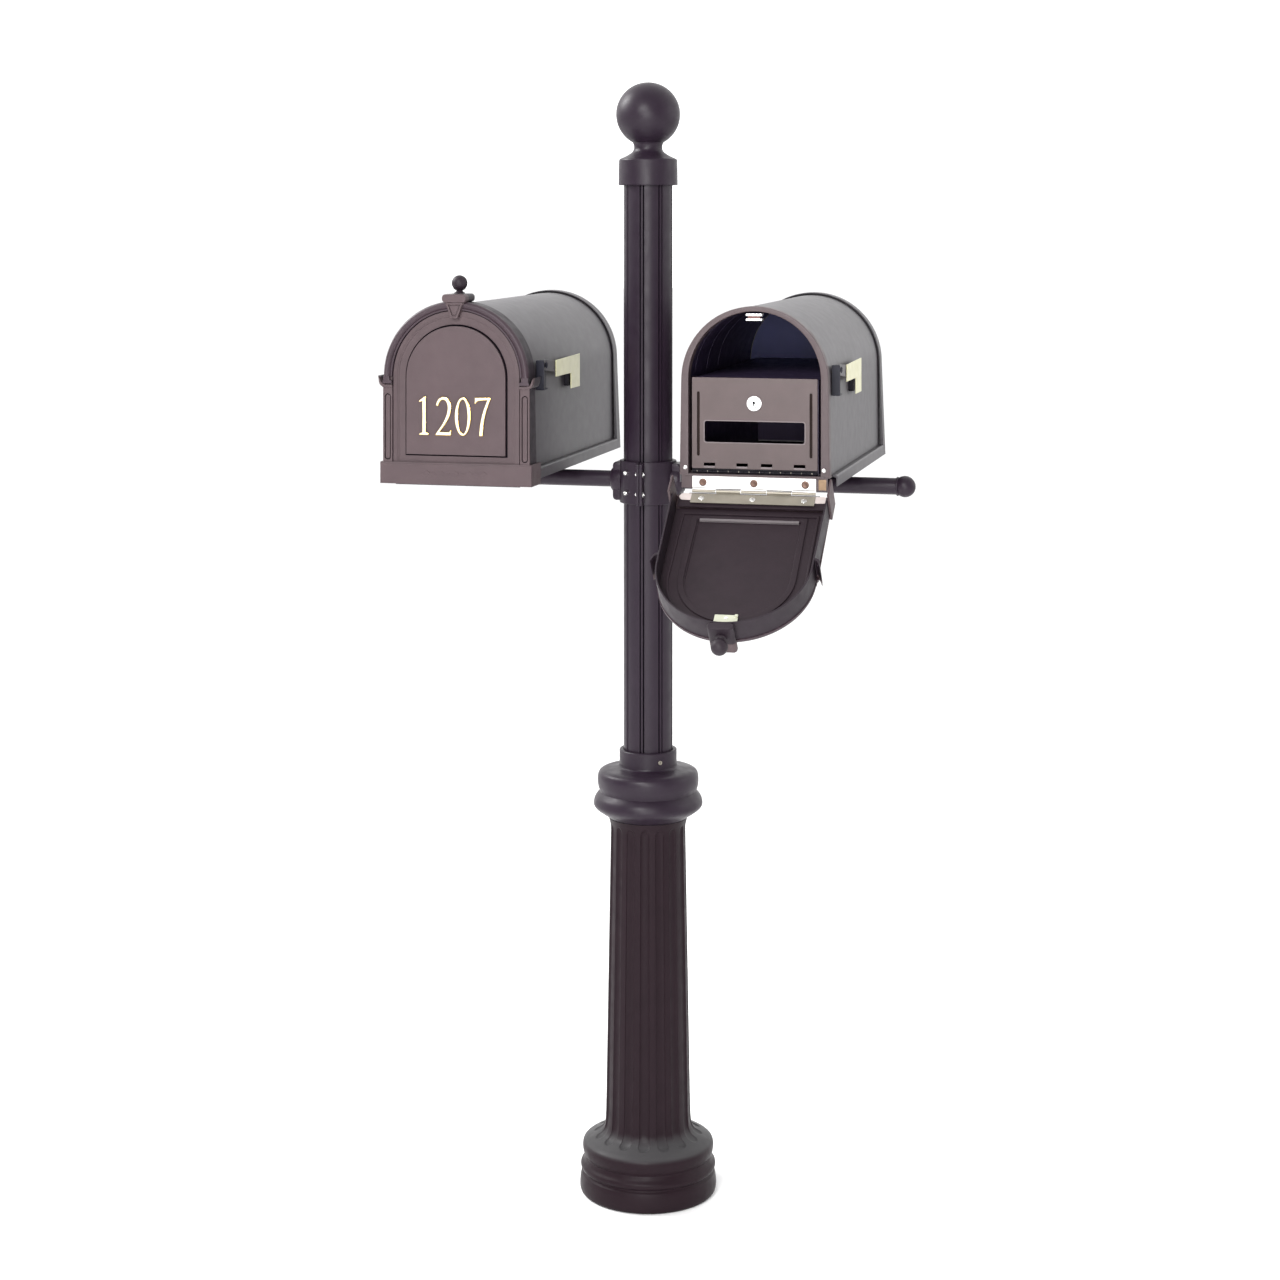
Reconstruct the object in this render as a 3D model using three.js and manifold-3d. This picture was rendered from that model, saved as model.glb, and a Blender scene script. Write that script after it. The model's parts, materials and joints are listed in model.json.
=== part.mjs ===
// Twin curbside mailbox post: two arched letter boxes on the arms of one clamped post, which stands
// in a fluted pedestal. Millimetres, +Z up. The origin is the middle of the foot on the ground, and
// the doors face -Y. The left box (-X) is closed and the right box (+X) has its door hanging open.
import * as THREE from 'three';
import { mergeVertices } from 'three/addons/utils/BufferGeometryUtils.js';
import Module from 'manifold-3d';

const wasm = await Module();
wasm.setup();

// ---- driving dimensions ----

const GAP = 0.3;                 // between pieces that rest on each other

// post, from the ground up
const ANCHOR_RADIUS = 92;
const ANCHOR_TOP = 8;
const POST_RADIUS = 38.1;
const POST_WALL = 3.2;
const POST_TOP = 1600;
const COLUMN_TOP = 582;
const COLLAR_TOP = 688;
const CAP_BOTTOM = 1568;
const NECK_TOP = 1636;
const BALL_RADIUS = 50.2;
const BALL_CENTRE = 1679;
const CAP_RADIUS = 46.4;
const FLUTES = 16;
const FLUTE_STEPS = 5;           // facets from one ridge to the next; the channel takes three
const FLUTE_DEPTH = 2.2;
const FLUTE_TURN = THREE.MathUtils.degToRad(6.45);
const FLUTE_SPAN = [88, 570];    // lowest and highest row of the profile that is fluted
const DOME_START = 68;           // outside this radius the surface is the dome's top, cut downward

// arms and their clamp
const ARM_HEIGHT = 1108;
const ARM_RADIUS = 12.7;
const ARM_START = 40;            // inner end, from the post's axis
const ARM_END = 391;
const ARM_BALL_RADIUS = 16.3;
const ARM_BALL_X = 403.2;
const CLAMP_HALF_HEIGHT = 33;
const CLAMP_RADIUS = 44.5;
const CLAMP_CENTRE = 1106;
const CLAMP_FLANGE = 4.3;        // thickness of one flange
const CLAMP_REACH = 61;          // how far the flanges stand out from the axis
const BOLT_OFFSET_Y = 54;
const BOLT_OFFSET_Z = 15.5;

// one letter box, about its own middle plane
const BOX_X = 222;
const SPRING = 1284;             // where the sides turn into the arch
const FLOOR = 1149.5;            // top of the floor plate
const FRAME_FRONT = -267;
const FRAME_DEPTH = 17.5;
const SHELL_BACK = 226;
const SHELL_WALL = 2;
const RIM_FRONT = 218;
const RIM_BACK = 240;
const SKIRT_BOTTOM = 1133;
const SKIRT_HALF = 116.5;
const APRON_BOTTOM = 1128.4;

// door, in its closed place
const DOOR_BOTTOM = 1128;
const DOOR_FIELD = -284;         // front of the plain field
const DOOR_SKIN = 3;
const DOOR_RIM = -250;           // back edge of the dish
const BAND_FRONT = -289;
const BAND_TOP = 1157;
const BAND_HALF = 117;
const BAND_BACK = -239;
const PANEL_HALF = 73.5;
const KEYSTONE_FRONT = -294;
const CAP_FRONT = -297;          // of the block on the keystone that carries the knob
const CAP_TOP = 1406.5;
const FLANGE_BACK = -275.4;      // of the flange that the hinge plate lies on
const CATCH_FRONT = -270.8;
const KNOB_HEIGHT = 1422;
const KNOB_RADIUS = 11.8;
const KNOB_Y = -268;

// door hinge
const HINGE_Y = -270.3;
const HINGE_Z = 1124.6;
const HINGE_HALF = 90.5;
const KNUCKLE_RADIUS = 3;
const LEAF_THICKNESS = 1.5;
const LEAF_TOP = 1146;
const DOOR_OPEN_ANGLE = THREE.MathUtils.degToRad(128);

// locked insert
const INSERT_HALF = 92.5;
const INSERT_SHEET = 1.2;
const DECK_TOP = 1287;
const PANEL_FRONT = -265;
const PANEL_SHEET = 1.4;
const PANEL_BOTTOM = 1156;
const PANEL_TOP = 1288.5;
const LOCK_Z = 1252;

// flag on the box's right side
const FLAG_PIVOT_Y = -212;
const FLAG_PIVOT_Z = 1299;

// ---- finishes ----

const finish = (colour, roughness, metalness) =>
  new THREE.MeshStandardMaterial({ color: colour, roughness, metalness });
const postCoat = () => finish(0x1d191d, 0.5, 0.2);
const boxCoat = () => finish(0x252123, 0.55, 0.2);
const doorCoat = () => finish(0x2b2324, 0.6, 0.2);
const insertCoat = () => finish(0x4a4040, 0.45, 0.3);
const stainless = () => finish(0xd8d8d6, 0.3, 1);
const chrome = () => finish(0xe6e6e8, 0.12, 1);
const zinc = () => finish(0xd9d2c8, 0.4, 0.8);
const brass = () => finish(0xc9a35a, 0.25, 1);
const cream = () => finish(0xcbc9a5, 0.5, 0);

// ---- shape helpers ----

// Merges shared corners, drops faces of no area and turns the faces outward.
function closed(geometry) {
  geometry = geometry.clone();
  geometry.deleteAttribute('normal');
  geometry.deleteAttribute('uv');
  const merged = mergeVertices(geometry, 1e-4);
  const point = merged.attributes.position;
  const corners = merged.index.array;
  const kept = [];
  let volume = 0;
  const [a, b, c] = [new THREE.Vector3(), new THREE.Vector3(), new THREE.Vector3()];
  for (let i = 0; i < corners.length; i += 3) {
    const [p, q, r] = corners.slice(i, i + 3);
    if (p === q || q === r || r === p) continue;
    kept.push(p, q, r);
    a.fromBufferAttribute(point, p);
    b.fromBufferAttribute(point, q);
    c.fromBufferAttribute(point, r);
    volume += a.dot(b.cross(c));
  }
  merged.setIndex(volume < 0 ? kept.reverse() : kept);
  return merged;
}

function solid(geometry) {
  const whole = closed(geometry);
  return new wasm.Manifold(new wasm.Mesh({
    numProp: 3,
    vertProperties: new Float32Array(whole.attributes.position.array),
    triVerts: new Uint32Array(whole.index.array),
  }));
}

function geometryOf(manifold) {
  const mesh = manifold.getMesh();
  const geometry = new THREE.BufferGeometry();
  geometry.setAttribute('position', new THREE.BufferAttribute(mesh.vertProperties, 3));
  geometry.setIndex(new THREE.BufferAttribute(mesh.triVerts, 1));
  return geometry;
}

const join = (first, ...others) =>
  geometryOf(others.reduce((whole, other) => whole.add(solid(other)), solid(first)));
const cut = (first, ...others) =>
  geometryOf(others.reduce((whole, other) => whole.subtract(solid(other)), solid(first)));

function block([x0, x1], [y0, y1], [z0, z1]) {
  return new THREE.BoxGeometry(x1 - x0, y1 - y0, z1 - z0)
    .translate((x0 + x1) / 2, (y0 + y1) / 2, (z0 + z1) / 2);
}

const extrude = (shape, length, curveSegments = 10) =>
  new THREE.ExtrudeGeometry(shape, { depth: length, bevelEnabled: false, curveSegments });

// A shape drawn in X and Z, running from y0 to y1.
const alongY = (shape, y0, y1, curveSegments) =>
  extrude(shape, y1 - y0, curveSegments).rotateX(Math.PI / 2).translate(0, y1, 0);

// A shape drawn in Y and Z, running from x0 to x1.
function alongX(shape, x0, x1, curveSegments) {
  const turn = new THREE.Matrix4().makeBasis(
    new THREE.Vector3(0, 1, 0), new THREE.Vector3(0, 0, 1), new THREE.Vector3(1, 0, 0));
  return extrude(shape, x1 - x0, curveSegments).applyMatrix4(turn).translate(x0, 0, 0);
}

function polygon(points) {
  return new THREE.Shape(points.map(([x, y]) => new THREE.Vector2(x, y)));
}

// A closed profile of [radius, height] pairs turned about the Z axis.
function turned(profile, segments = 32) {
  const points = profile.map(([r, z]) => new THREE.Vector2(r, z));
  return new THREE.LatheGeometry(points, segments).rotateX(Math.PI / 2);
}

function ring(inner, outer, z0, z1, segments) {
  return turned([[inner, z0], [outer, z0], [outer, z1], [inner, z1], [inner, z0]], segments);
}

const rodY = (radius, y0, y1, x, z, segments = 24, farRadius = radius) =>
  new THREE.CylinderGeometry(farRadius, radius, y1 - y0, segments)
    .translate(x, (y0 + y1) / 2, 0).translate(0, 0, z);

const rodX = (radius, x0, x1, y, z, segments = 24, farRadius = radius) =>
  new THREE.CylinderGeometry(farRadius, radius, x1 - x0, segments)
    .rotateZ(-Math.PI / 2).translate((x0 + x1) / 2, y, z);

// The box's outline: upright sides that spread a little downward, under a round arch.
function arched(bottomHalf, springHalf, bottom, spring = SPRING) {
  const shape = new THREE.Shape();
  shape.moveTo(-bottomHalf, bottom);
  shape.lineTo(bottomHalf, bottom);
  shape.lineTo(springHalf, spring);
  shape.absarc(0, spring, springHalf, 0, Math.PI, false);
  shape.closePath();
  return shape;
}

function mesh(name, geometry, material) {
  const made = new THREE.Mesh(closed(geometry), material);
  made.name = name;
  return made;
}

// ---- post ----

function anchorPlate() {
  return turned([[0, 0], [ANCHOR_RADIUS, 0], [ANCHOR_RADIUS, ANCHOR_TOP], [0, ANCHOR_TOP]], 32);
}

// The radius of a [radius, height] profile that rises all the way, at one height.
function outerRadius(profile, z) {
  const above = profile.findIndex(([, height]) => height >= z);
  const [[r0, z0], [r1, z1]] = [profile[Math.max(above - 1, 0)], profile[above]];
  return z1 === z0 ? Math.min(r0, r1) : r0 + (r1 - r0) * (z - z0) / (z1 - z0);
}

// Cast shell: a stepped round foot, a dome and a tapering fluted column.
function pedestal() {
  const outside = [
    [102.3, 0], [105.3, 5], [106.6, 14], [104.2, 26], [102.5, 31], [105, 37], [104.8, 47],
    [99.6, 55], [98.8, 57.5], [101, 63], [102, 71], [101.2, 76.5], [99.4, 79.6], [96, 82],
    [90, 85], [81, 89.5], [73, 94], [68, 102], [66, 115], [65.6, 135], [58.4, 566], [60, 576],
    [60, COLUMN_TOP],
  ];
  const inside = [
    [42, COLUMN_TOP], [42, 574], [53, 560], [60, 126], [61, 92], [74, 84], [93, 72], [94, 0],
    [102.3, 0],
  ];
  const shell = turned([...outside, ...inside], FLUTES * FLUTE_STEPS);
  const point = shell.attributes.position;
  const step = 2 * Math.PI / (FLUTES * FLUTE_STEPS);
  for (let i = 0; i < point.count; i += 1) {
    const [x, y, z] = [point.getX(i), point.getY(i), point.getZ(i)];
    const radius = Math.hypot(x, y);
    const place = (Math.round(Math.atan2(x, -y) / step) + FLUTES * FLUTE_STEPS) % FLUTE_STEPS;
    const onColumn = z > FLUTE_SPAN[0] && z < FLUTE_SPAN[1] && radius > outerRadius(outside, z) - 0.5;
    if (place > 1 || !onColumn) continue;
    const pushed = 1 - FLUTE_DEPTH / radius;
    if (radius > DOME_START) point.setZ(i, z - FLUTE_DEPTH);
    else point.setXY(i, x * pushed, y * pushed);
  }
  return shell.rotateZ(FLUTE_TURN);
}

function pedestalCollar() {
  const low = COLUMN_TOP + GAP;
  return turned([
    [42, low], [61, low], [72, 590.5], [81, 596.5], [85, 602.5], [83.8, 611.8], [78, 620.4],
    [75.6, 623.5], [78.1, 632.2], [78.7, 641.9], [78.1, 648.5], [76, 653.3], [70, 657],
    [45, 660.5], [44.7, 662.5], [44.7, COLLAR_TOP], [39, COLLAR_TOP], [39, 596], [42, low],
  ]);
}

function postTube() {
  const inner = POST_RADIUS - POST_WALL;
  return ring(inner, POST_RADIUS, ANCHOR_TOP + GAP, POST_TOP, 42);
}

function postCap() {
  return turned([
    [39, CAP_BOTTOM], [CAP_RADIUS - 1, CAP_BOTTOM], [CAP_RADIUS, 1570], [CAP_RADIUS - 1, 1608],
    [22.6, 1620.5], [22.2, NECK_TOP], [0, NECK_TOP], [0, POST_TOP + GAP], [39, POST_TOP + GAP],
    [39, CAP_BOTTOM],
  ]);
}

// Ball cut flat below where it sits on the cap's neck.
function ballFinial() {
  const start = Math.asin((NECK_TOP + GAP - BALL_CENTRE) / BALL_RADIUS);
  const profile = [[0, NECK_TOP + GAP]];
  const steps = 14;
  for (let i = 0; i < steps; i += 1) {
    const angle = start + (Math.PI / 2 - start) * i / steps;
    profile.push([BALL_RADIUS * Math.cos(angle), BALL_CENTRE + BALL_RADIUS * Math.sin(angle)]);
  }
  profile.push([0, BALL_CENTRE + BALL_RADIUS]);
  return turned(profile, 28);
}

// ---- clamp and arms; side is -1 for the left and 1 for the right ----

function clampHalf(side) {
  const [low, high] = [CLAMP_CENTRE - CLAMP_HALF_HEIGHT, CLAMP_CENTRE + CLAMP_HALF_HEIGHT];
  const near = side * GAP;
  const far = side * (GAP + CLAMP_FLANGE);
  const flange = [Math.min(near, far), Math.max(near, far)];
  const half = side < 0 ? [near, 100] : [-100, near];
  const boss = side < 0
    ? rodX(14, -57, -36, 0, ARM_HEIGHT, 24, 20)
    : rodX(20, 36, 57, 0, ARM_HEIGHT, 24, 14);
  const bolt = (y, z) => rodX(3.4, -12, 12, y, z, 12);
  const whole = join(
    turned([[0, low], [CLAMP_RADIUS, low], [CLAMP_RADIUS, high], [0, high]], 40), boss,
    block(flange, [-CLAMP_REACH, CLAMP_REACH], [low, high]));
  const bore = POST_RADIUS + GAP;
  const hole = [[0, low - 1], [bore, low - 1], [bore, high + 1], [0, high + 1]];
  const rims = [-1, 1].flatMap((y) => [-1, 1].map((z) =>
    bolt(y * BOLT_OFFSET_Y, CLAMP_CENTRE + z * BOLT_OFFSET_Z)));
  const socket = side < 0 ? [-70, -39] : [39, 70];
  return cut(whole, turned(hole, 42), block(half, [-100, 100], [low - 5, high + 5]),
    rodX(ARM_RADIUS + GAP, ...socket, 0, ARM_HEIGHT), ...rims);
}

function clampBolt(y, z) {
  const grip = CLAMP_FLANGE + GAP * 2;
  return join(rodX(3, -grip - 4, grip + 4, y, z, 12), rodX(5, -grip - 4, -grip, y, z, 6),
    rodX(5, grip, grip + 4, y, z, 6));
}

function arm(side) {
  const [a, b] = [side * ARM_START, side * ARM_END];
  const tube = rodX(ARM_RADIUS, Math.min(a, b), Math.max(a, b), 0, ARM_HEIGHT);
  return cut(tube, rodX(ARM_RADIUS - 2.5, -400, 400, 0, ARM_HEIGHT, 16));
}

// Ball with a neck ring and a plug that goes into the arm's open end.
function armBall(side) {
  const profile = [[0, -25], [9.8, -25], [9.8, -11.9], [14, -11.7], [14, -9.3], [12.5, -8.6]];
  const start = -0.5;
  const steps = 8;
  for (let i = 0; i < steps; i += 1) {
    const angle = start + (Math.PI / 2 - start) * i / steps;
    profile.push([ARM_BALL_RADIUS * Math.cos(angle), ARM_BALL_RADIUS * Math.sin(angle)]);
  }
  profile.push([0, ARM_BALL_RADIUS]);
  return turned(profile, 20).rotateY(side * Math.PI / 2)
    .translate(side * ARM_BALL_X, 0, ARM_HEIGHT);
}

// Cradle over the arm, screwed up into the box's floor plate.
function saddle(x) {
  const body = block([x - 35, x + 35], [-20, 20], [1100, FLOOR - 2.5 - GAP]);
  return cut(body, rodX(ARM_RADIUS + GAP, x - 40, x + 40, 0, ARM_HEIGHT),
    block([x - 40, x + 40], [-13, 13], [1090, ARM_HEIGHT]));
}

// ---- letter box, fixed pieces, about x = 0 ----

function floorPan() {
  const skirt = (side) => {
    const [a, b] = [side * SKIRT_HALF, side * (SKIRT_HALF - 2)];
    return block([Math.min(a, b), Math.max(a, b)], [-238, RIM_FRONT - GAP], [SKIRT_BOTTOM, FLOOR]);
  };
  return join(block([-SKIRT_HALF, SKIRT_HALF], [-238, RIM_FRONT - GAP], [FLOOR - 2.5, FLOOR]),
    block([-108, 108], [FRAME_FRONT + FRAME_DEPTH + GAP, -237], [FLOOR - 2.5, FLOOR]),
    skirt(-1), skirt(1));
}

function bodyShell() {
  const front = FRAME_FRONT + FRAME_DEPTH + GAP;
  const low = FLOOR + GAP;
  return cut(alongY(arched(108.4, 106.4, low), front, SHELL_BACK, 12),
    alongY(arched(108.4 - SHELL_WALL, 106.4 - SHELL_WALL, low - 1), front - 1, SHELL_BACK + 1, 12));
}

function rearCap() {
  return cut(alongY(arched(SKIRT_HALF, 110.5, SKIRT_BOTTOM), RIM_FRONT, RIM_BACK, 12),
    alongY(arched(109.4, 107.2, SKIRT_BOTTOM + 2.5), RIM_FRONT - 1, SHELL_BACK + 3, 12),
    alongY(arched(111.5, 105.5, SKIRT_BOTTOM + 5), SHELL_BACK + 6, RIM_BACK + 1, 12));
}

// Cast ring round the mouth, with the apron below it that carries the hinge.
function frontFrame() {
  const back = FRAME_FRONT + FRAME_DEPTH;
  const face = alongY(arched(109, 107, 1147), FRAME_FRONT, back, 12);
  const mouth = alongY(arched(95, 94.5, FLOOR, 1286), FRAME_FRONT - 1, back + 1, 12);
  const ringPart = geometryOf(solid(face).subtract(solid(mouth)));
  return join(ringPart, block([-107, 107], [FRAME_FRONT, FRAME_FRONT + 2.5], [APRON_BOTTOM, 1148]));
}

// Magnet catch in its bracket, hung from the top of the mouth.
function strike() {
  return block([-12, 12], [-268.6, -256], [1368, 1378.8]);
}

// Inverted channel that divides the box: mail drops below its deck, and parcels stand on it.
function insertHousing() {
  const channel = [
    [-INSERT_HALF, FLOOR + GAP], [-INSERT_HALF, DECK_TOP], [INSERT_HALF, DECK_TOP],
    [INSERT_HALF, FLOOR + GAP], [INSERT_HALF - INSERT_SHEET, FLOOR + GAP],
    [INSERT_HALF - INSERT_SHEET, DECK_TOP - INSERT_SHEET],
    [INSERT_SHEET - INSERT_HALF, DECK_TOP - INSERT_SHEET], [INSERT_SHEET - INSERT_HALF, FLOOR + GAP],
  ];
  const front = -259.2;
  const lip = block([-INSERT_HALF + 0.5, INSERT_HALF - 0.5], [front, front + INSERT_SHEET],
    [1272, DECK_TOP]);
  return join(alongY(polygon(channel), front, SHELL_BACK - 1), lip);
}

// Stretches of the hinge line that each leaf's knuckles take up.
const KNUCKLE_SPANS = {
  box: [[-HINGE_HALF, -56], [-18.5, 18.5], [56, HINGE_HALF]],
  door: [[-55, -19.5], [19.5, 55]],
};

// Half of the butt hinge: a flat leaf with knuckles that wrap the pin.
function hingeLeaf(owner) {
  const plate = owner === 'box'
    ? [HINGE_Y + KNUCKLE_RADIUS - LEAF_THICKNESS, HINGE_Y + KNUCKLE_RADIUS]
    : [HINGE_Y - KNUCKLE_RADIUS, HINGE_Y - KNUCKLE_RADIUS + LEAF_THICKNESS];
  const parts = KNUCKLE_SPANS[owner].flatMap(([x0, x1]) => [
    rodX(KNUCKLE_RADIUS, x0, x1, HINGE_Y, HINGE_Z, 12), block([x0, x1], plate, [HINGE_Z, 1130])]);
  const leaf = join(block([-HINGE_HALF, HINGE_HALF], plate, [1128.4, LEAF_TOP]), ...parts);
  return cut(leaf, rodX(1.75, -100, 100, HINGE_Y, HINGE_Z, 10));
}

function hingePin() {
  return rodX(1.4, -HINGE_HALF, HINGE_HALF, HINGE_Y, HINGE_Z, 10);
}

// Bracket on the box's side, with the stud that the flag's arm turns on.
function flagBracket() {
  const side = 107.3;
  return join(block([side, side + 6.2], [-232, -199], [1262.5, 1307]),
    rodX(3, side + 5, side + 11.5, FLAG_PIVOT_Y, FLAG_PIVOT_Z, 12),
    rodX(5, side + 9.3, side + 12, FLAG_PIVOT_Y, FLAG_PIVOT_Z, 12));
}

// ---- letter box, moving pieces, in their closed places ----

// Raised ornament on the door's front, as separate closed shapes that sink into the field.
function doorRelief() {
  const sunk = DOOR_FIELD + 1;
  const mirrored = ([x0, x1], y, z) => [block([x0, x1], y, z), block([-x1, -x0], y, z)];
  const hood = cut(alongY(arched(112, 112, SPRING - 2), BAND_FRONT - 2, sunk, 12),
    alongY(arched(103, 103, SPRING - 5), BAND_FRONT - 3, sunk + 1, 12));
  return [
    alongY(arched(PANEL_HALF, PANEL_HALF, 1164, 1288.5), BAND_FRONT + 1, sunk),
    ...mirrored([98, 113], [BAND_FRONT + 2, sunk], [BAND_TOP - 1, SPRING]),
    hood,
    alongY(polygon([[-5, 1372], [5, 1372], [14, 1394], [-14, 1394]]), KEYSTONE_FRONT, sunk),
  ];
}

// Cast dish: side wall, field, raised ornament, and the deep band along its lower edge.
function door() {
  const inside = 111.1;
  const shell = join(
    alongY(arched(113.5, 110.8, BAND_TOP - 6), DOOR_FIELD, DOOR_RIM, 12),
    block([-BAND_HALF, BAND_HALF], [BAND_FRONT, BAND_BACK], [DOOR_BOTTOM, BAND_TOP]),
    ...doorRelief());
  const dish = cut(shell,
    alongY(arched(inside, 108.4, DOOR_BOTTOM - 5), DOOR_FIELD + DOOR_SKIN, 0, 12),
    block([-inside, inside], [BAND_FRONT + DOOR_SKIN, 0], [DOOR_BOTTOM + 3, BAND_TOP - 3]),
    block([-inside, inside], [FLANGE_BACK, 0], [DOOR_BOTTOM - 5, BAND_TOP + 1]),
    alongY(arched(PANEL_HALF - 3, PANEL_HALF - 3, 1167, 1288.5), BAND_FRONT + 4, 0));
  const ear = (side) => block([side < 0 ? -120 : 109.5, side < 0 ? -109.5 : 120],
    [BAND_FRONT - 2, DOOR_RIM], [1270, 1283]);
  return join(dish,
    block([-111.5, 111.5], [BAND_FRONT + 1, FLANGE_BACK], [DOOR_BOTTOM, DOOR_BOTTOM + 3]),
    block([-109, 109], [FLANGE_BACK - 2.6, FLANGE_BACK], [DOOR_BOTTOM, LEAF_TOP]),
    block([-14, 14], [DOOR_FIELD + 1, CATCH_FRONT - GAP], [1360, 1378]),
    block([-18.5, 18.5], [CAP_FRONT, -249.5], [1393.6, CAP_TOP]),
    ear(-1), ear(1));
}

function doorKnob() {
  const seat = CAP_TOP + GAP;
  const profile = [[0, seat], [7, seat], [5, CAP_TOP + 3], [5, CAP_TOP + 5.5]];
  const start = -1.08;
  const steps = 9;
  for (let i = 0; i < steps; i += 1) {
    const angle = start + (Math.PI / 2 - start) * i / steps;
    profile.push([KNOB_RADIUS * Math.cos(angle), KNOB_HEIGHT + KNOB_RADIUS * Math.sin(angle)]);
  }
  profile.push([0, KNOB_HEIGHT + KNOB_RADIUS]);
  return turned(profile, 20).translate(0, KNOB_Y, 0);
}

function catchPlate() {
  return block([-16.5, 16.5], [CATCH_FRONT, CATCH_FRONT + 1.5], [1362, 1377]);
}

// Plate with rounded upper corners between the door's flange and the hinge leaf.
function hingePlate() {
  const [half, low, high, round] = [108.5, 1126, 1141, 8];
  const shape = new THREE.Shape();
  shape.moveTo(-half, low);
  shape.lineTo(half, low);
  shape.lineTo(half, high - round);
  shape.absarc(half - round, high - round, round, 0, Math.PI / 2, false);
  shape.absarc(round - half, high - round, round, Math.PI / 2, Math.PI, false);
  shape.closePath();
  return alongY(shape, FLANGE_BACK + GAP, HINGE_Y - KNUCKLE_RADIUS - GAP, 3);
}

function insertPanel() {
  const sheet = block([-92, 92], [PANEL_FRONT, PANEL_FRONT + PANEL_SHEET], [PANEL_BOTTOM, PANEL_TOP]);
  const through = [PANEL_FRONT - 1, PANEL_FRONT + 4];
  const mailSlot = block([-73.5, 73.5], through, [1195, 1226]);
  const sideSlots = [-82.6, 82.6].map((x) => block([x - 2, x + 2], through, [1175, 1268]));
  const notches = [-66, -18, 18, 66].map((x) => block([x - 7.5, x + 7.5], through, [1160, 1164.6]));
  return cut(sheet, mailSlot, ...sideSlots, ...notches,
    rodY(8.6, PANEL_FRONT - 1, PANEL_FRONT + 4, 0, LOCK_Z));
}

function lockBarrel() {
  const front = PANEL_FRONT - GAP;
  return cut(join(rodY(10.8, front - 3.2, front, 0, LOCK_Z), rodY(8.2, front - 1, -255, 0, LOCK_Z)),
    rodY(6.4, -280, -240, 0, LOCK_Z));
}

// Keyed plug and the tongue on its back end, which points sideways when it is unlocked.
function lockPlug() {
  return join(rodY(5.8, -269.2, -253, 0, LOCK_Z, 20), rodY(7.5, -254, -252, 0, LOCK_Z, 16),
    block([0, 31], [-254, -252], [LOCK_Z - 6, LOCK_Z + 6]));
}

// Dark arm from the stud back to the flag.
function flagArm() {
  const shape = new THREE.Shape();
  shape.moveTo(FLAG_PIVOT_Y, FLAG_PIVOT_Z + 8);
  shape.absarc(FLAG_PIVOT_Y, FLAG_PIVOT_Z, 8, Math.PI / 2, Math.PI * 3 / 2, false);
  shape.lineTo(-148, 1284);
  shape.lineTo(-148, 1302);
  shape.closePath();
  return cut(alongX(shape, 114.1, 115.9, 6), rodX(3.4, 110, 120, FLAG_PIVOT_Y, FLAG_PIVOT_Z, 12));
}

function flag() {
  const outline = [[-158, 1278], [-158, 1303], [-23, 1305], [-23, 1254], [-73, 1254], [-73, 1278]];
  return alongX(polygon(outline), 116.2, 117.9);
}

// ---- house number, one cast figure each ----

const DIGIT_HEIGHT = 57;
const DIGIT_BASE = 1198;

function figureOne() {
  return polygon([
    [-8, 0], [8, 0], [8, 4], [3.6, 6], [3.6, 57], [0, 57], [-8.5, 50], [-7.5, 47], [-3.6, 48],
    [-3.6, 6], [-8, 4],
  ]);
}

function figureTwo() {
  const shape = new THREE.Shape();
  shape.moveTo(-12, 0);
  shape.lineTo(12, 0);
  shape.lineTo(12.5, 9);
  shape.lineTo(-3, 7);
  shape.bezierCurveTo(4, 18, 12.5, 28, 12.5, 41);
  shape.bezierCurveTo(12.5, 62, -11, 62, -12, 42);
  shape.lineTo(-6, 42);
  shape.bezierCurveTo(-5, 54, 5.5, 54, 5.5, 41);
  shape.bezierCurveTo(5.5, 28, -4, 15, -12, 4);
  shape.closePath();
  return shape;
}

function figureNought() {
  const shape = new THREE.Shape();
  shape.absellipse(0, DIGIT_HEIGHT / 2, 13, DIGIT_HEIGHT / 2, 0, Math.PI * 2, false, 0);
  const counter = new THREE.Path();
  counter.absellipse(0, DIGIT_HEIGHT / 2, 7, DIGIT_HEIGHT / 2 - 4, 0, Math.PI * 2, true, 0);
  shape.holes.push(counter);
  return shape;
}

function figureSeven() {
  const shape = new THREE.Shape();
  shape.moveTo(-6, 0);
  shape.lineTo(2, 0);
  shape.bezierCurveTo(2, 20, 6, 36, 13, 52);
  shape.lineTo(13, 57);
  shape.lineTo(-12, 57);
  shape.lineTo(-12.5, 46);
  shape.lineTo(-10, 46);
  shape.bezierCurveTo(-9, 50, -7, 51, 6, 51);
  shape.bezierCurveTo(-1, 36, -6, 20, -6, 0);
  shape.closePath();
  return shape;
}

function figure(shape, x) {
  return alongY(shape, BAND_FRONT - 2.4, BAND_FRONT + 1 - GAP, 5).translate(x, 0, DIGIT_BASE);
}

// ---- assembly ----

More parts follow.
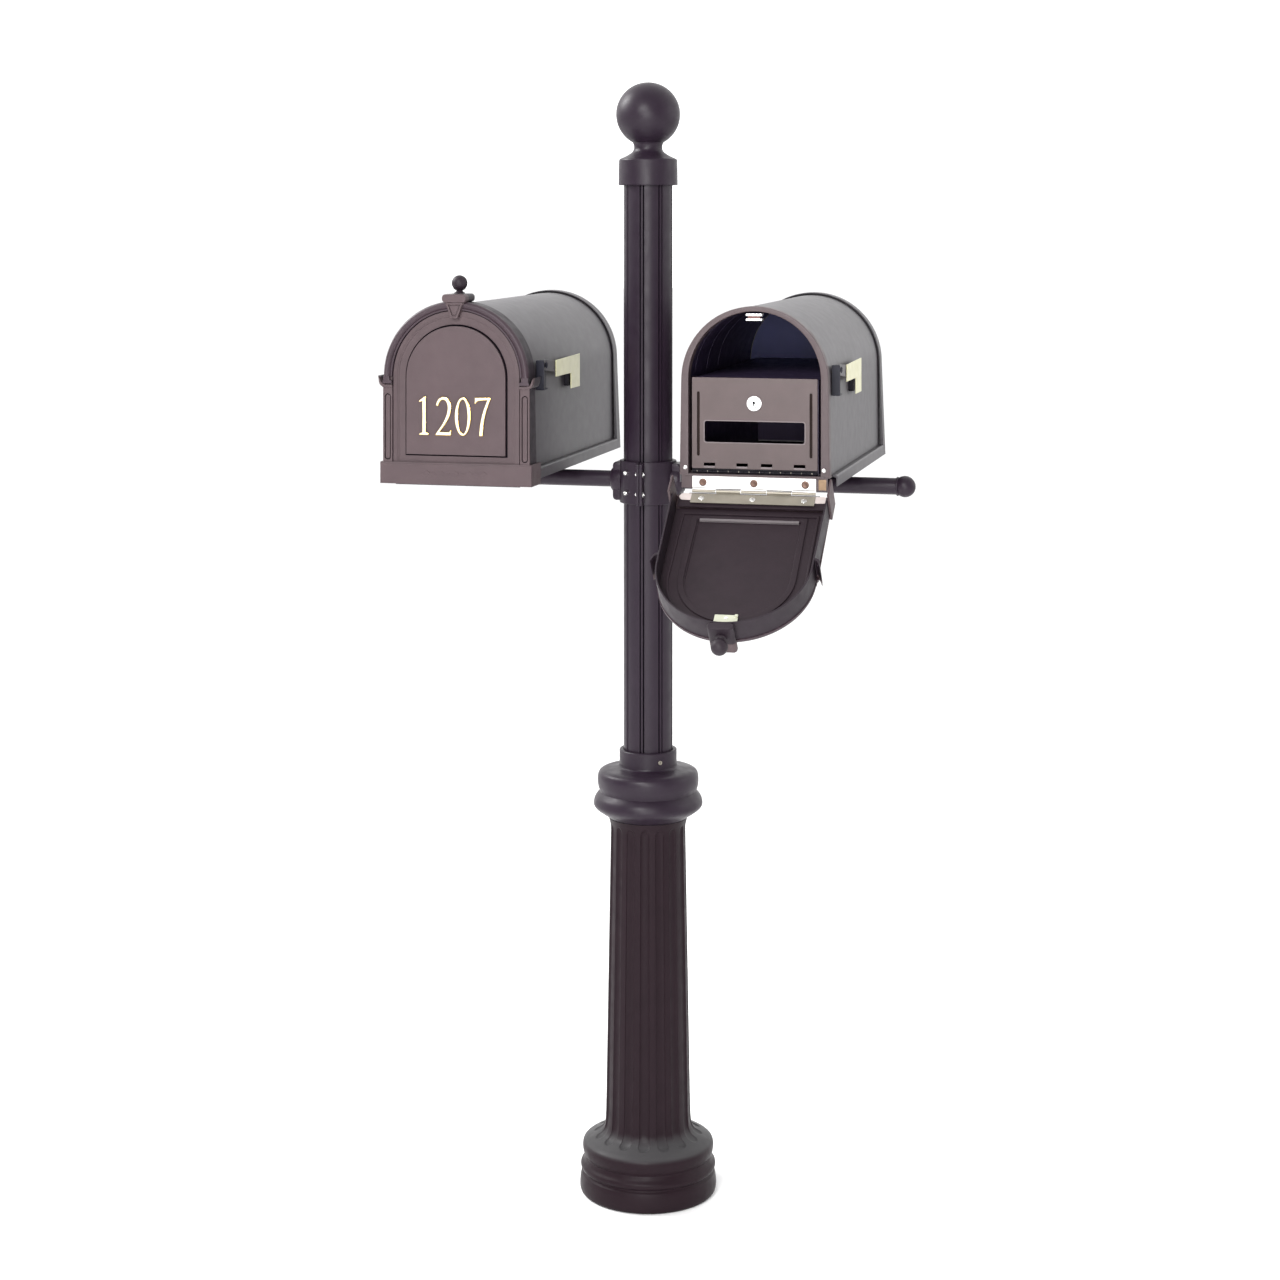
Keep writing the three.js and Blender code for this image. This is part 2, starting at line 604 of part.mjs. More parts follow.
function letterBox(name, x, doorAngle) {
  const box = new THREE.Group();
  box.position.x = x;
  const fixed = [
    ['floor_pan', floorPan(), boxCoat()], ['body_shell', bodyShell(), boxCoat()],
    ['rear_cap', rearCap(), boxCoat()], ['front_frame', frontFrame(), doorCoat()],
    ['strike', strike(), chrome()], ['insert_housing', insertHousing(), boxCoat()],
    ['box_hinge_leaf', hingeLeaf('box'), stainless()], ['hinge_pin', hingePin(), stainless()],
    ['flag_bracket', flagBracket(), boxCoat()], ['insert_panel', insertPanel(), insertCoat()],
    ['lock_barrel', lockBarrel(), chrome()], ['lock_plug', lockPlug(), chrome()],
    ['flag_arm', flagArm(), boxCoat()], ['flag', flag(), cream()],
  ];
  for (const [piece, geometry, material] of fixed) {
    box.add(mesh(`${name}_${piece}`, geometry, material));
  }
  const swung = new THREE.Group();
  swung.position.set(0, HINGE_Y, HINGE_Z);
  swung.rotation.x = doorAngle;
  const hung = new THREE.Group();
  hung.position.set(0, -HINGE_Y, -HINGE_Z);
  swung.add(hung);
  const swinging = [
    ['door', door(), doorCoat()], ['door_knob', doorKnob(), doorCoat()],
    ['catch_plate', catchPlate(), zinc()], ['hinge_plate', hingePlate(), zinc()],
    ['door_hinge_leaf', hingeLeaf('door'), stainless()],
  ];
  for (const [piece, geometry, material] of swinging) {
    hung.add(mesh(`${name}_${piece}`, geometry, material));
  }
  box.add(swung);
  return { box, hung };
}

const post = new THREE.Group();
post.name = 'twin_mailbox_post';
post.add(
  mesh('anchor_plate', anchorPlate(), stainless()),
  mesh('pedestal', pedestal(), postCoat()),
  mesh('pedestal_collar', pedestalCollar(), postCoat()),
  mesh('post_tube', postTube(), postCoat()),
  mesh('post_cap', postCap(), postCoat()),
  mesh('ball_finial', ballFinial(), postCoat()),
);
for (const [name, side] of [['left', -1], ['right', 1]]) {
  post.add(
    mesh(`${name}_clamp_half`, clampHalf(side), postCoat()),
    mesh(`${name}_arm`, arm(side), postCoat()),
    mesh(`${name}_arm_ball`, armBall(side), postCoat()),
    mesh(`${name}_saddle`, saddle(side * BOX_X), postCoat()),
  );
}
for (const [end, y] of [['front', -1], ['rear', 1]]) {
  for (const [level, z] of [['lower', -1], ['upper', 1]]) {
    const height = CLAMP_CENTRE + z * BOLT_OFFSET_Z;
    post.add(mesh(`clamp_bolt_${end}_${level}`, clampBolt(y * BOLT_OFFSET_Y, height), stainless()));
  }
}

const left = letterBox('left', -BOX_X, 0);
const right = letterBox('right', BOX_X, DOOR_OPEN_ANGLE);
const figures = [figureOne(), figureTwo(), figureNought(), figureSeven()];
figures.forEach((shape, i) => {
  left.hung.add(mesh(`number_${i + 1}`, figure(shape, (i - 1.5) * 30 - 3), brass()));
});
post.add(left.box, right.box);

export default post;
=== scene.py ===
"""Looks for the twin mailbox post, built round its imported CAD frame.

Shapes are drawn in millimetres and scaled once, in new_piece. A letter box is drawn about its own
middle plane with its door shut, then moved into place; the right door is turned open at its hinge.
"""

import json
import math

import bmesh
import bpy
from mathutils import Matrix, Vector


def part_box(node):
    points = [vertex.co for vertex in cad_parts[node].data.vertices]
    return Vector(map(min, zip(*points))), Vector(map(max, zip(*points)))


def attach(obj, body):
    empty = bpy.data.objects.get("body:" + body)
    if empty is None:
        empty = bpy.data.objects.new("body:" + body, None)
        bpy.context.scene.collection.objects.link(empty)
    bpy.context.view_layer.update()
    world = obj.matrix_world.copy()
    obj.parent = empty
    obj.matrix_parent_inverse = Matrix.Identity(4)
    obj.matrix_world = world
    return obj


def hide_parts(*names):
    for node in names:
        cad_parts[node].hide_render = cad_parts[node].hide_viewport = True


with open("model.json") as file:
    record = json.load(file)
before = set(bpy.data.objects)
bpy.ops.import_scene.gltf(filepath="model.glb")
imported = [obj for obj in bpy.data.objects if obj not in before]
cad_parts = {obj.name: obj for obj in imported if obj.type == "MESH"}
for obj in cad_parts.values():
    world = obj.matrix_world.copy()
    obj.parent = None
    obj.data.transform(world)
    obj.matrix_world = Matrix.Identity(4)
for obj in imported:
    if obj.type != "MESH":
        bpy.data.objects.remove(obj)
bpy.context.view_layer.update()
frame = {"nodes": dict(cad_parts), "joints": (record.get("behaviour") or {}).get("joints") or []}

MM = 0.001
JOINTS = {joint["name"]: joint for joint in frame["joints"]}


def span(name):
    """A CAD node's extent along x, y and z at rest, in millimetres."""
    low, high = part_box(name)
    return [(a / MM, b / MM) for a, b in zip(low, high)]


# ---- driving dimensions, in millimetres ----

SIDES = {"left": -1, "right": 1}
BOX_X = JOINTS["right_door_hinge"]["pos_m"][0] / MM
HINGE_Y, HINGE_Z = (value / MM for value in JOINTS["right_door_hinge"]["pos_m"][1:])
OPEN_ANGLE = -JOINTS["right_door_hinge"]["range_deg"][0]

SPRING = 1284            # where the boxes' sides turn into their arch
FLOOR = 1149.5           # top of a box's floor plate
SHELL_HALF = 106.4       # at the spring line
SHELL_FOOT = 108.4       # at the floor
SHELL_WALL = 2
FRAME_FRONT, FRAME_BACK = span("right_front_frame")[1]
SHELL_FRONT, SHELL_BACK = span("right_body_shell")[1]
RIM_FRONT, RIM_BACK = span("right_rear_cap")[1]
SKIRT_HALF = 116.5
SKIRT_BOTTOM = span("right_floor_pan")[2][0]

DOOR_HALF = 110.8        # at the spring line
DOOR_FOOT = 113.5        # half width at the foot
DOOR_BOTTOM = 1124.9
DOOR_FIELD = -284        # front of the plain field
MOULDING_BACK = DOOR_FIELD + 0.6
DOOR_INSIDE = -281
DOOR_RIM = -250
# Behind BLOCK_SPLIT the door's coat is darkened as painted shade.
BLOCK_SPLIT = -279       # where the door's face coat ends on what runs back from it
BAND_TOP = 1157
BAND_HALF = 117
BAND_FRONT, BAND_BACK = -289, -239
PANEL_HALF = 76.6
PANEL_BOTTOM = 1169
PANEL_SPRING = 1282.6
PILASTER_IN, PILASTER_OUT = 98.6, 113.2
CATCH_Z = 1369.5
STRIKE_FRONT = -268.6

POST_RADIUS = 38.1
COLUMN_TOP = span("pedestal")[2][1]
COLLAR_TOP = span("pedestal_collar")[2][1]
CAP_BOTTOM = span("post_cap")[2][0]
BALL_CENTRE = 1679
BALL_RADIUS = 50.2
CAP_RADIUS = 46.4
FLUTES = 16
FLUTE_TURN = 8.7         # azimuth of one channel's middle, degrees from -Y towards +X
FLUTE_HALF = 6.75        # half of a channel's width, in degrees
FLUTE_DEPTH = 3.2
FLUTE_SPAN = (85, 574)   # heights that the channels stay between
FLUTE_INNER = 57         # nothing nearer the axis is pushed in
FLUTE_HEAD = 562         # where the channels start to narrow at the column's top
HEAD_LENGTH = 11
COLUMN_RADIUS = 66       # at the column's foot, where the channels start to turn outward
TONGUE_RADIUS = 75       # where they lie on the dome and start to narrow again
TONGUE_LENGTH = 9.5
TONGUE_DEPTH = 2.5
STRIPS = 8
STRIP_TURN = -1          # azimuth of one strip's middle
STRIP_HALF = 2.4         # half of a strip's width, in degrees
STRIP_RISE = 0.4
GROOVE_EDGE = 5.4        # far edge of the groove beside a strip, in degrees from its middle
GROOVE_DEPTH = 2.1

ARM_Z = 1108
ARM_RADIUS = 12.7
ARM_END = span("right_arm")[0][1]
CLAMP_BOTTOM, CLAMP_TOP = span("right_clamp_half")[2]
CLAMP_RADIUS = 44.5

LOCK_Z = 1252
SHEET_FRONT, SHEET_BACK = span("right_insert_panel")[1]
DECK_TOP = span("right_insert_housing")[2][1]
BACK_WALL = (226.6, 228.2)            # inside face of a box's back
NOTCHES = (-66, -18, 18, 66)          # middles of the insert's lower notches
SIDE_SLOTS = (-82.6, 82.6)
SHEET_KNUCKLES, SHEET_PITCH = 12, 15.3   # of the hinge along the insert's foot
LEAF_SCREWS = (-75, 0, 75)
FLAG_PIVOT = (-212, 1299)
KNUCKLES = {"box": [(-90.5, -56), (-18.5, 18.5), (56, 90.5)], "door": [(-55, -19.5), (19.5, 55)]}
LEAF_AT = {"box": (HINGE_Y + 1.5, HINGE_Y + 3), "door": (HINGE_Y - 3, HINGE_Y - 1.5)}

ARCH_STEPS = 72
ON_AXIS = 1e-6           # a profile's point with a smaller radius is on the axis


# ---- outlines, as lists of (u, v) points ----

def arc(u, v, radius, start, end, steps=16):
    """Points along an arc; the angles are in degrees."""
    angles = [math.radians(start + (end - start) * i / steps) for i in range(steps + 1)]
    return [(u + radius * math.cos(a), v + radius * math.sin(a)) for a in angles]


def arched(bottom_half, spring_half, bottom, spring=SPRING):
    """Upright sides under a round arch."""
    sides = [(-bottom_half, bottom), (bottom_half, bottom)]
    return sides + arc(0, spring, spring_half, 0, 180, ARCH_STEPS)


def rectangle(u0, u1, v0, v1, corner=0.0):
    """An upright rectangle, its corners rounded where corner isn't 0."""
    if not corner:
        return [(u0, v0), (u1, v0), (u1, v1), (u0, v1)]
    inner = [(u1 - corner, v0 + corner, -90), (u1 - corner, v1 - corner, 0),
             (u0 + corner, v1 - corner, 90), (u0 + corner, v0 + corner, 180)]
    return [point for u, v, start in inner for point in arc(u, v, corner, start, start + 90, 5)]


def circle(u, v, radius, steps=40):
    """A round outline."""
    return arc(u, v, radius, 0, 360, steps)[:-1]


def stadium(u, v0, v1, half):
    """An upright slot with round ends."""
    return arc(u, v0 + half, half, 180, 360, 12) + arc(u, v1 - half, half, 0, 180, 12)


def smooth(*points, steps=6):
    """A Catmull-Rom curve through the points."""
    ends = [points[0], *points, points[-1]]
    made = []
    for a, b, c, d in zip(ends, ends[1:], ends[2:], ends[3:]):
        for i in range(steps):
            t = i / steps
            made.append(tuple(
                b[k] + 0.5 * t * (c[k] - a[k] + t * (2 * a[k] - 5 * b[k] + 4 * c[k] - d[k]
                + t * (3 * (b[k] - c[k]) + d[k] - a[k]))) for k in (0, 1)))
    return made + [points[-1]]


def bezier(a, b, c, d, steps=10):
    """A cubic curve from a towards d, without its last point."""
    made = []
    for i in range(steps):
        t = i / steps
        weights = ((1 - t) ** 3, 3 * t * (1 - t) ** 2, 3 * t * t * (1 - t), t ** 3)
        made.append(tuple(sum(w * p[k] for w, p in zip(weights, (a, b, c, d))) for k in (0, 1)))
    return made


def mirrored(points):
    """An outline on the other side of u = 0, in the same turning sense."""
    return [(-u, v) for u, v in reversed(points)]


def sided(points, side):
    """An outline drawn for the right side (1), or its mirror image (-1)."""
    return points if side > 0 else mirrored(points)


# ---- solids, as meshes in millimetres ----

AXES = {
    "X": Matrix(((0, 0, 1, 0), (1, 0, 0, 0), (0, 1, 0, 0), (0, 0, 0, 1))),
    "Y": Matrix(((1, 0, 0, 0), (0, 0, -1, 0), (0, 1, 0, 0), (0, 0, 0, 1))),
    "Z": Matrix.Identity(4),
}


def slab(outline, low, high, bevel=0.6, holes=(), axis="Y", inset=0.0):
    """A flat solid from low to high along axis, its outline in (x, z), (y, z) or (x, y)."""
    bevel = min(bevel, (high - low) * 0.45)
    curve = bpy.data.curves.new("slab", "CURVE")
    curve.dimensions = "2D"
    curve.fill_mode = "BOTH"
    curve.bevel_depth = bevel
    curve.bevel_resolution = 1
    curve.offset = -bevel - inset
    curve.extrude = (high - low) / 2 - bevel
    for points in (outline, *holes):
        spline = curve.splines.new("POLY")
        spline.points.add(len(points) - 1)
        spline.use_cyclic_u = True
        for place, (u, v) in zip(spline.points, points):
            place.co = (u, v, 0, 1)
    holder = bpy.data.objects.new("slab", curve)
    mesh = bpy.data.meshes.new_from_object(holder)
    bpy.data.objects.remove(holder)
    bpy.data.curves.remove(curve)
    middle = (low + high) / 2
    shift = -middle if axis == "Y" else middle
    mesh.transform(AXES[axis] @ Matrix.Translation((0, 0, shift)))
    return welded(mesh)


def welded(mesh):
    """Shared corners joined and faces turned outward."""
    work = bmesh.new()
    work.from_mesh(mesh)
    bmesh.ops.remove_doubles(work, verts=work.verts, dist=0.004)
    bmesh.ops.dissolve_degenerate(work, edges=work.edges, dist=0.001)
    bmesh.ops.recalc_face_normals(work, faces=work.faces)
    work.to_mesh(mesh)
    work.free()
    return mesh


def even_azimuths(count=96):
    """Azimuths in even steps, in degrees."""
    return [360 * i / count for i in range(count)]


def ring_faces(lower, upper):
    """Faces between two rings of corners; a ring that is one point gives triangles."""
    faces = []
    for i in range(len(lower)):
        j = (i + 1) % len(lower)
        face = dict.fromkeys((lower[i], lower[j], upper[j], upper[i]))
        if len(face) > 2:
            faces.append(tuple(face))
    return faces


def lathe(profile, azimuths=None, push=None):
    """A (radius, height) profile turned about Z; azimuths run from -Y towards +X, in degrees.

    The profile is closed, or starts and ends on the axis. push(radius, height, azimuth) is how far
    the surface is drawn in towards the axis, and how far down.
    """
    azimuths = azimuths or even_azimuths()
    count = len(azimuths)
    corners, rings = [], []
    for radius, height in profile:
        if radius < ON_AXIS:
            rings.append([len(corners)] * count)
            corners.append((0, 0, height))
            continue
        rings.append([len(corners) + i for i in range(count)])
        for azimuth in azimuths:
            inward, down = push(radius, height, azimuth) if push else (0, 0)
            reach = radius - inward
            turn = math.radians(azimuth)
            corners.append((reach * math.sin(turn), -reach * math.cos(turn), height - down))
    pairs = list(zip(rings, rings[1:]))
    if profile[0][0] > ON_AXIS:
        pairs.append((rings[-1], rings[0]))
    mesh = bpy.data.meshes.new("lathe")
    mesh.from_pydata(corners, [], [face for pair in pairs for face in ring_faces(*pair)])
    return welded(mesh)


TURNED_TO = {
    "+X": Matrix.Rotation(math.pi / 2, 4, "Y"),
    "-X": Matrix.Rotation(-math.pi / 2, 4, "Y"),
    "-Y": Matrix.Rotation(math.pi / 2, 4, "X"),
    "+Y": Matrix.Rotation(-math.pi / 2, 4, "X"),
    "+Z": Matrix.Identity(4),
}
OUTWARD = {1: "+X", -1: "-X"}         # of the right and the left side


def turned(profile, place, towards="+Z", count=48):
    """A lathed piece with its axis through place; its heights are counted towards a direction."""
    mesh = lathe(profile, even_azimuths(count))
    mesh.transform(Matrix.Translation(place) @ TURNED_TO[towards])
    return mesh


def rod(radius, length, place, towards, edge=0.4, count=32):
    """A round bar that starts at place, with its ends' edges broken."""
    return turned([
        (0, 0), (radius - edge, 0), (radius, edge), (radius, length - edge),
        (radius - edge, length), (0, length)], place, towards, count)


def block(x, y, z, bevel=0.6, corner=0.0):
    """A box with its edges broken; corner rounds it as seen from the front."""
    return slab(rectangle(*x, *z, corner), *y, bevel)


def both(make):
    """What make draws for the right side and for the left."""
    return [make(1), make(-1)]


def merged(*meshes):
    """One mesh out of several."""
    work = bmesh.new()
    for mesh in meshes:
        work.from_mesh(mesh)
        bpy.data.meshes.remove(mesh)
    whole = bpy.data.meshes.new("merged")
    work.to_mesh(whole)
    work.free()
    return whole


def screw_head(place, towards, radius=4.0, height=1.6, slot_turn=0.0):
    """A domed head with a slightly raised cross, which stands for its recess."""
    rim, rise = height * 0.3, height * 0.7
    dome = [(radius * u, rim + rise * v) for u, v in arc(0, 0, 1, 12, 77, 5)]
    head = lathe([(0, 0), (radius, 0), (radius, rim), *dome, (0, height)], even_azimuths(24))
    bars = []
    for turn in (slot_turn, slot_turn + 90):
        bar = slab(rectangle(-radius * 0.6, radius * 0.6, -radius * 0.12, radius * 0.12),
                   height * 0.8, height * 1.04, 0.05, axis="Z")
        bar.transform(Matrix.Rotation(math.radians(turn), 4, "Z"))
        bars.append(bar)
    whole = merged(head, *bars)
    whole.transform(Matrix.Translation(place) @ TURNED_TO[towards])
    return whole


def rivet(place, towards, radius=5.0, height=1.8):
    """A round head with a shallow dimple."""
    return turned([
        (0, 0), (radius, 0), (radius, height * 0.45), (radius * 0.82, height),
        (radius * 0.6, height), (radius * 0.5, height * 0.7), (0, height * 0.7)],
        place, towards, 28)


# ---- putting pieces in ----

def new_piece(name, mesh, material, body, slot, replaces=(), sharp=38):
    """Scales a mesh drawn in millimetres, coats it, and puts it on its body."""
    mesh.name = name
    mesh.transform(Matrix.Diagonal((MM, MM, MM, 1)))
    mesh.shade_smooth()
    mesh.set_sharp_from_angle(angle=math.radians(sharp))
    mesh.materials.clear()
    mesh.materials.append(material)
    piece = bpy.data.objects.new(name, mesh)
    bpy.context.scene.collection.objects.link(piece)
    normals = piece.modifiers.new("even shading", "WEIGHTED_NORMAL")
    normals.keep_sharp = True
    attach(piece, body)
    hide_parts(*replaces)
    return piece


# ---- materials ----

NOISE_SPAN = (0.3, 0.7)  # where most of a noise texture's values lie


def plain_shader(name, roughness, metallic=0.0):
    """A new material, its node tree and its Principled shader."""
    material = bpy.data.materials.new(name)
    material.use_nodes = True
    tree = material.node_tree
    shader = tree.nodes["Principled BSDF"]
    shader.inputs["Roughness"].default_value = roughness
    shader.inputs["Metallic"].default_value = metallic
    return material, tree, shader


def node(tree, kind, **inputs):
    """A new node; an input is given a value or is linked to another node's output."""
    made = tree.nodes.new("ShaderNode" + kind)
    for name, value in inputs.items():
        feed(tree, made, name.replace("_", " "), value)
    return made


def feed(tree, made, name, value):
    """Links one input of a node to an output, or sets its value."""
    if isinstance(value, bpy.types.NodeSocket):
        tree.links.new(value, made.inputs[name])
    else:
        made.inputs[name].default_value = value


def noise(tree, scale, detail=3.0, stretch=(1, 1, 1)):
    """Noise over the piece's own coordinates; scale is in cells per metre."""
    place = node(tree, "Mapping", Vector=node(tree, "TexCoord").outputs["Object"], Scale=stretch)
    texture = node(tree, "TexNoise", Vector=place.outputs["Vector"], Scale=scale, Detail=detail)
    return texture.outputs["Fac"]


def tint(tree, shader, value, dark, light):
    """Base colour that runs from dark to light with value."""
    ramp = node(tree, "ValToRGB", Fac=value)
    low, high = ramp.color_ramp.elements
    low.position, high.position = NOISE_SPAN
    low.color, high.color = (*dark, 1), (*light, 1)
    feed(tree, shader, "Base Color", ramp.outputs["Color"])


def gloss(tree, shader, value, low, high):
    """Roughness that runs from low to high with value."""
    start, end = NOISE_SPAN
    spread = node(tree, "MapRange", Value=value, From_Min=start, From_Max=end, To_Min=low,
                  To_Max=high)
    feed(tree, shader, "Roughness", spread.outputs["Result"])


def relief(tree, shader, value, height_mm, strength):
    """Fine bumps of the given height where value is high."""
    bump = node(tree, "Bump", Height=value, Distance=height_mm * MM, Strength=strength)
    feed(tree, shader, "Normal", bump.outputs["Normal"])


def powder_coat(name, colour, roughness=0.5, grain=1100, strength=0.35, cloud=0.07, shine=0.5,
                uneven=0.07):
    """Baked powder paint: fine orange-peel grain, cloudy tone and uneven gloss."""
    material, tree, shader = plain_shader(name, roughness)
    shader.inputs["Specular IOR Level"].default_value = shine
    dark = [value * (1 - cloud) for value in colour]
    light = [value * (1 + cloud) for value in colour]
    tint(tree, shader, noise(tree, 34, 5), dark, light)
    gloss(tree, shader, noise(tree, 60, 4), roughness - uneven, roughness + uneven)
    relief(tree, shader, noise(tree, grain, 3), 0.16, strength)
    return material


def top_lit_coat(name, colour, lit_tone, roughness, shine, low, high):
    """Powder paint greyer where it faces up, as painted top light; this comes in from low to high
    in metres.
    """
    material = powder_coat(name, colour, roughness, strength=0.3, shine=shine)
    tree = material.node_tree
    shader = tree.nodes["Principled BSDF"]
    unlit_tone = shader.inputs["Base Color"].links[0].from_socket
    place = node(tree, "TexCoord")
    product = node(tree, "Math")
    product.operation = "MULTIPLY"
    for i, (output, start, end) in enumerate((("Normal", 0.15, 0.85), ("Object", low, high))):
        split = node(tree, "SeparateXYZ", Vector=place.outputs[output])
        fade = node(tree, "MapRange", Value=split.outputs["Z"], From_Min=start, From_Max=end)
        tree.links.new(fade.outputs["Result"], product.inputs[i])
    mix = node(tree, "MixRGB", Fac=product.outputs["Value"], Color1=unlit_tone, Color2=(*lit_tone, 1))
    feed(tree, shader, "Base Color", mix.outputs["Color"])
    return material


def bare_metal(name, colour, roughness, stretch=(1, 1, 1), scale=700, strength=0.15, metallic=1.0):
    """Bright metal with fine marks, which stretch draws out, and faint clouding."""
    material, tree, shader = plain_shader(name, roughness, metallic)
    dark = [value * 0.88 for value in colour]
    light = [min(value * 1.08, 1) for value in colour]
    tint(tree, shader, noise(tree, 55, 4), dark, light)
    marks = noise(tree, scale, 4, stretch)
    gloss(tree, shader, marks, max(roughness - 0.06, 0.03), roughness + 0.1)
    relief(tree, shader, marks, 0.05, strength)
    return material


def gloss_paint(name, colour, roughness=0.35):
    """Brushed-on paint with a soft clear gloss over it."""
    material, tree, shader = plain_shader(name, roughness)
    shader.inputs["Coat Weight"].default_value = 0.25
    shader.inputs["Coat Roughness"].default_value = 0.2
    dark = [value * 0.93 for value in colour]
    light = [min(value * 1.05, 1) for value in colour]
    tint(tree, shader, noise(tree, 40, 5), dark, light)
    gloss(tree, shader, noise(tree, 90, 3), roughness - 0.05, roughness + 0.1)
    relief(tree, shader, noise(tree, 500, 2), 0.12, 0.2)
    return material


POST_COAT = powder_coat("post coat", (0.0160, 0.0095, 0.0170), 0.42, strength=0.3, shine=0.22)
# Pedestal coat: its tone darker than the post's paints shade on the column, and its lighter tops
# are painted top light.
PEDESTAL_LIT_COAT = top_lit_coat("pedestal coat with painted light", (0.0125, 0.0060, 0.0090), (0.044, 0.042, 0.044),
                               0.46, 0.11, 0.054, 0.066)
BOX_COAT = powder_coat("box coat", (0.038, 0.033, 0.039), 0.46, strength=0.12, cloud=0.04,
                       uneven=0.02)
DOOR_COAT = powder_coat("door coat", (0.061, 0.040, 0.044), 0.55, grain=800, strength=0.5,
                        shine=0.35)
# Box coat darkened: painted shade on the flag bracket.
BRACKET_SHADE_COAT = powder_coat("painted bracket shade", (0.010, 0.010, 0.017), 0.45, shine=0.2)
# Door coat darkened: painted shade on the hood's roll.
HOOD_SHADE_COAT = powder_coat("painted hood shade", (0.035, 0.021, 0.028), 0.5, grain=800, shine=0.35)
FRAME_COAT = powder_coat("frame coat", (0.067, 0.047, 0.050), 0.5, shine=0.35)
INSERT_COAT = powder_coat("insert coat", (0.073, 0.051, 0.051), 0.45, grain=1500, strength=0.2,
                          shine=0.4)
TRIM_COAT = powder_coat("trim coat", (0.130, 0.104, 0.108), 0.45)
# Near-black coat for strips that paint the shade seen through the side slots.
SLOT_SHADE_COAT = powder_coat("painted slot shade", (0.016, 0.010, 0.009), 0.6, shine=0.06)
INSIDE_COAT = powder_coat("inside coat", (0.040, 0.026, 0.065), 0.45)
LIT_BLUE = powder_coat("lit blue coat", (0.022, 0.023, 0.090), 0.4, shine=0.2)
SHADE_BLUE = powder_coat("shade blue coat", (0.060, 0.042, 0.090), 0.5, shine=0.2)
DISH_COAT = powder_coat("dish coat", (0.016, 0.009, 0.013), 0.55, grain=700, strength=0.5,
                        shine=0.25)
# Door coat darkened: painted shade on what runs back from the door's face, the lip under the band
# and the knob.
DOOR_SHADE_COAT = powder_coat("painted door shade", (0.014, 0.008, 0.013), 0.55, shine=0.28)
# Door coat lightened: a painted reflection of the white floor on the ledge inside the door.
LEDGE_REFLECTION_COAT = powder_coat("painted ledge reflection", (0.120, 0.105, 0.110), 0.4)
DARK_COAT = powder_coat("dark coat", (0.005, 0.004, 0.007), 0.5, shine=0.12)
# Near-black coat for linings that paint the shade in grooves.
GROOVE_SHADE_COAT = powder_coat("painted groove shade", (0.0020, 0.0015, 0.0030), 0.8, shine=0.03)
MAGNET_RED = powder_coat("magnet", (0.110, 0.040, 0.035), 0.5)
BRONZE_SHEET = bare_metal("bronze sheet", (0.19, 0.130, 0.085), 0.38, (1, 1, 12))
STAINLESS = bare_metal("stainless", (0.85, 0.84, 0.82), 0.26, (1, 14, 14))
ZINC = bare_metal("zinc plate", (0.78, 0.76, 0.66), 0.42, metallic=0.6)
WHITE_ZINC = bare_metal("white zinc", (0.93, 0.91, 0.89), 0.4, metallic=0.25)
GREY_ZINC = bare_metal("grey zinc", (0.28, 0.255, 0.21), 0.4, metallic=0.5)
CATCH_ZINC = bare_metal("catch zinc", (0.52, 0.53, 0.42), 0.4, metallic=0.5)
CREAM_ZINC = bare_metal("cream zinc", (0.58, 0.51, 0.49), 0.45, metallic=0.2)
NICKEL = bare_metal("satin nickel", (0.93, 0.92, 0.92), 0.28, strength=0.05, metallic=0.4)
BRASS = bare_metal("polished brass", (0.83, 0.58, 0.20), 0.22, strength=0.1)
# Pale brass for the figures' faces: a painted highlight over the polished brass.
BRASS_HIGHLIGHT = bare_metal("painted brass highlight", (0.98, 0.93, 0.74), 0.3, strength=0.1, metallic=0.35)
RIVET_BRONZE = bare_metal("rivet bronze", (0.115, 0.072, 0.058), 0.42)
FLAG_PAINT = gloss_paint("cream paint", (0.54, 0.52, 0.31))


# ---- post ----

def flute_push(radius, height, azimuth):
    """Channels down the column that turn outward on the dome's top and end there in a round."""
    low, high = FLUTE_SPAN
    if not low < height < high or radius < FLUTE_INNER:
        return 0, 0
    off = (azimuth - FLUTE_TURN + 180 / FLUTES) % (360 / FLUTES) - 180 / FLUTES
    outward = max(0, radius - TONGUE_RADIUS) / TONGUE_LENGTH
    above = max(0, height - FLUTE_HEAD) / HEAD_LENGTH
    reach = (off / FLUTE_HALF) ** 2 + outward ** 2 + above ** 2
    if reach >= 1:
        return 0, 0
    flat = min(max((radius - COLUMN_RADIUS) / (TONGUE_RADIUS - COLUMN_RADIUS), 0), 1)
    depth = (FLUTE_DEPTH * (1 - flat) + TONGUE_DEPTH * flat) * math.sqrt(1 - reach)
    return depth * (1 - flat), depth * flat


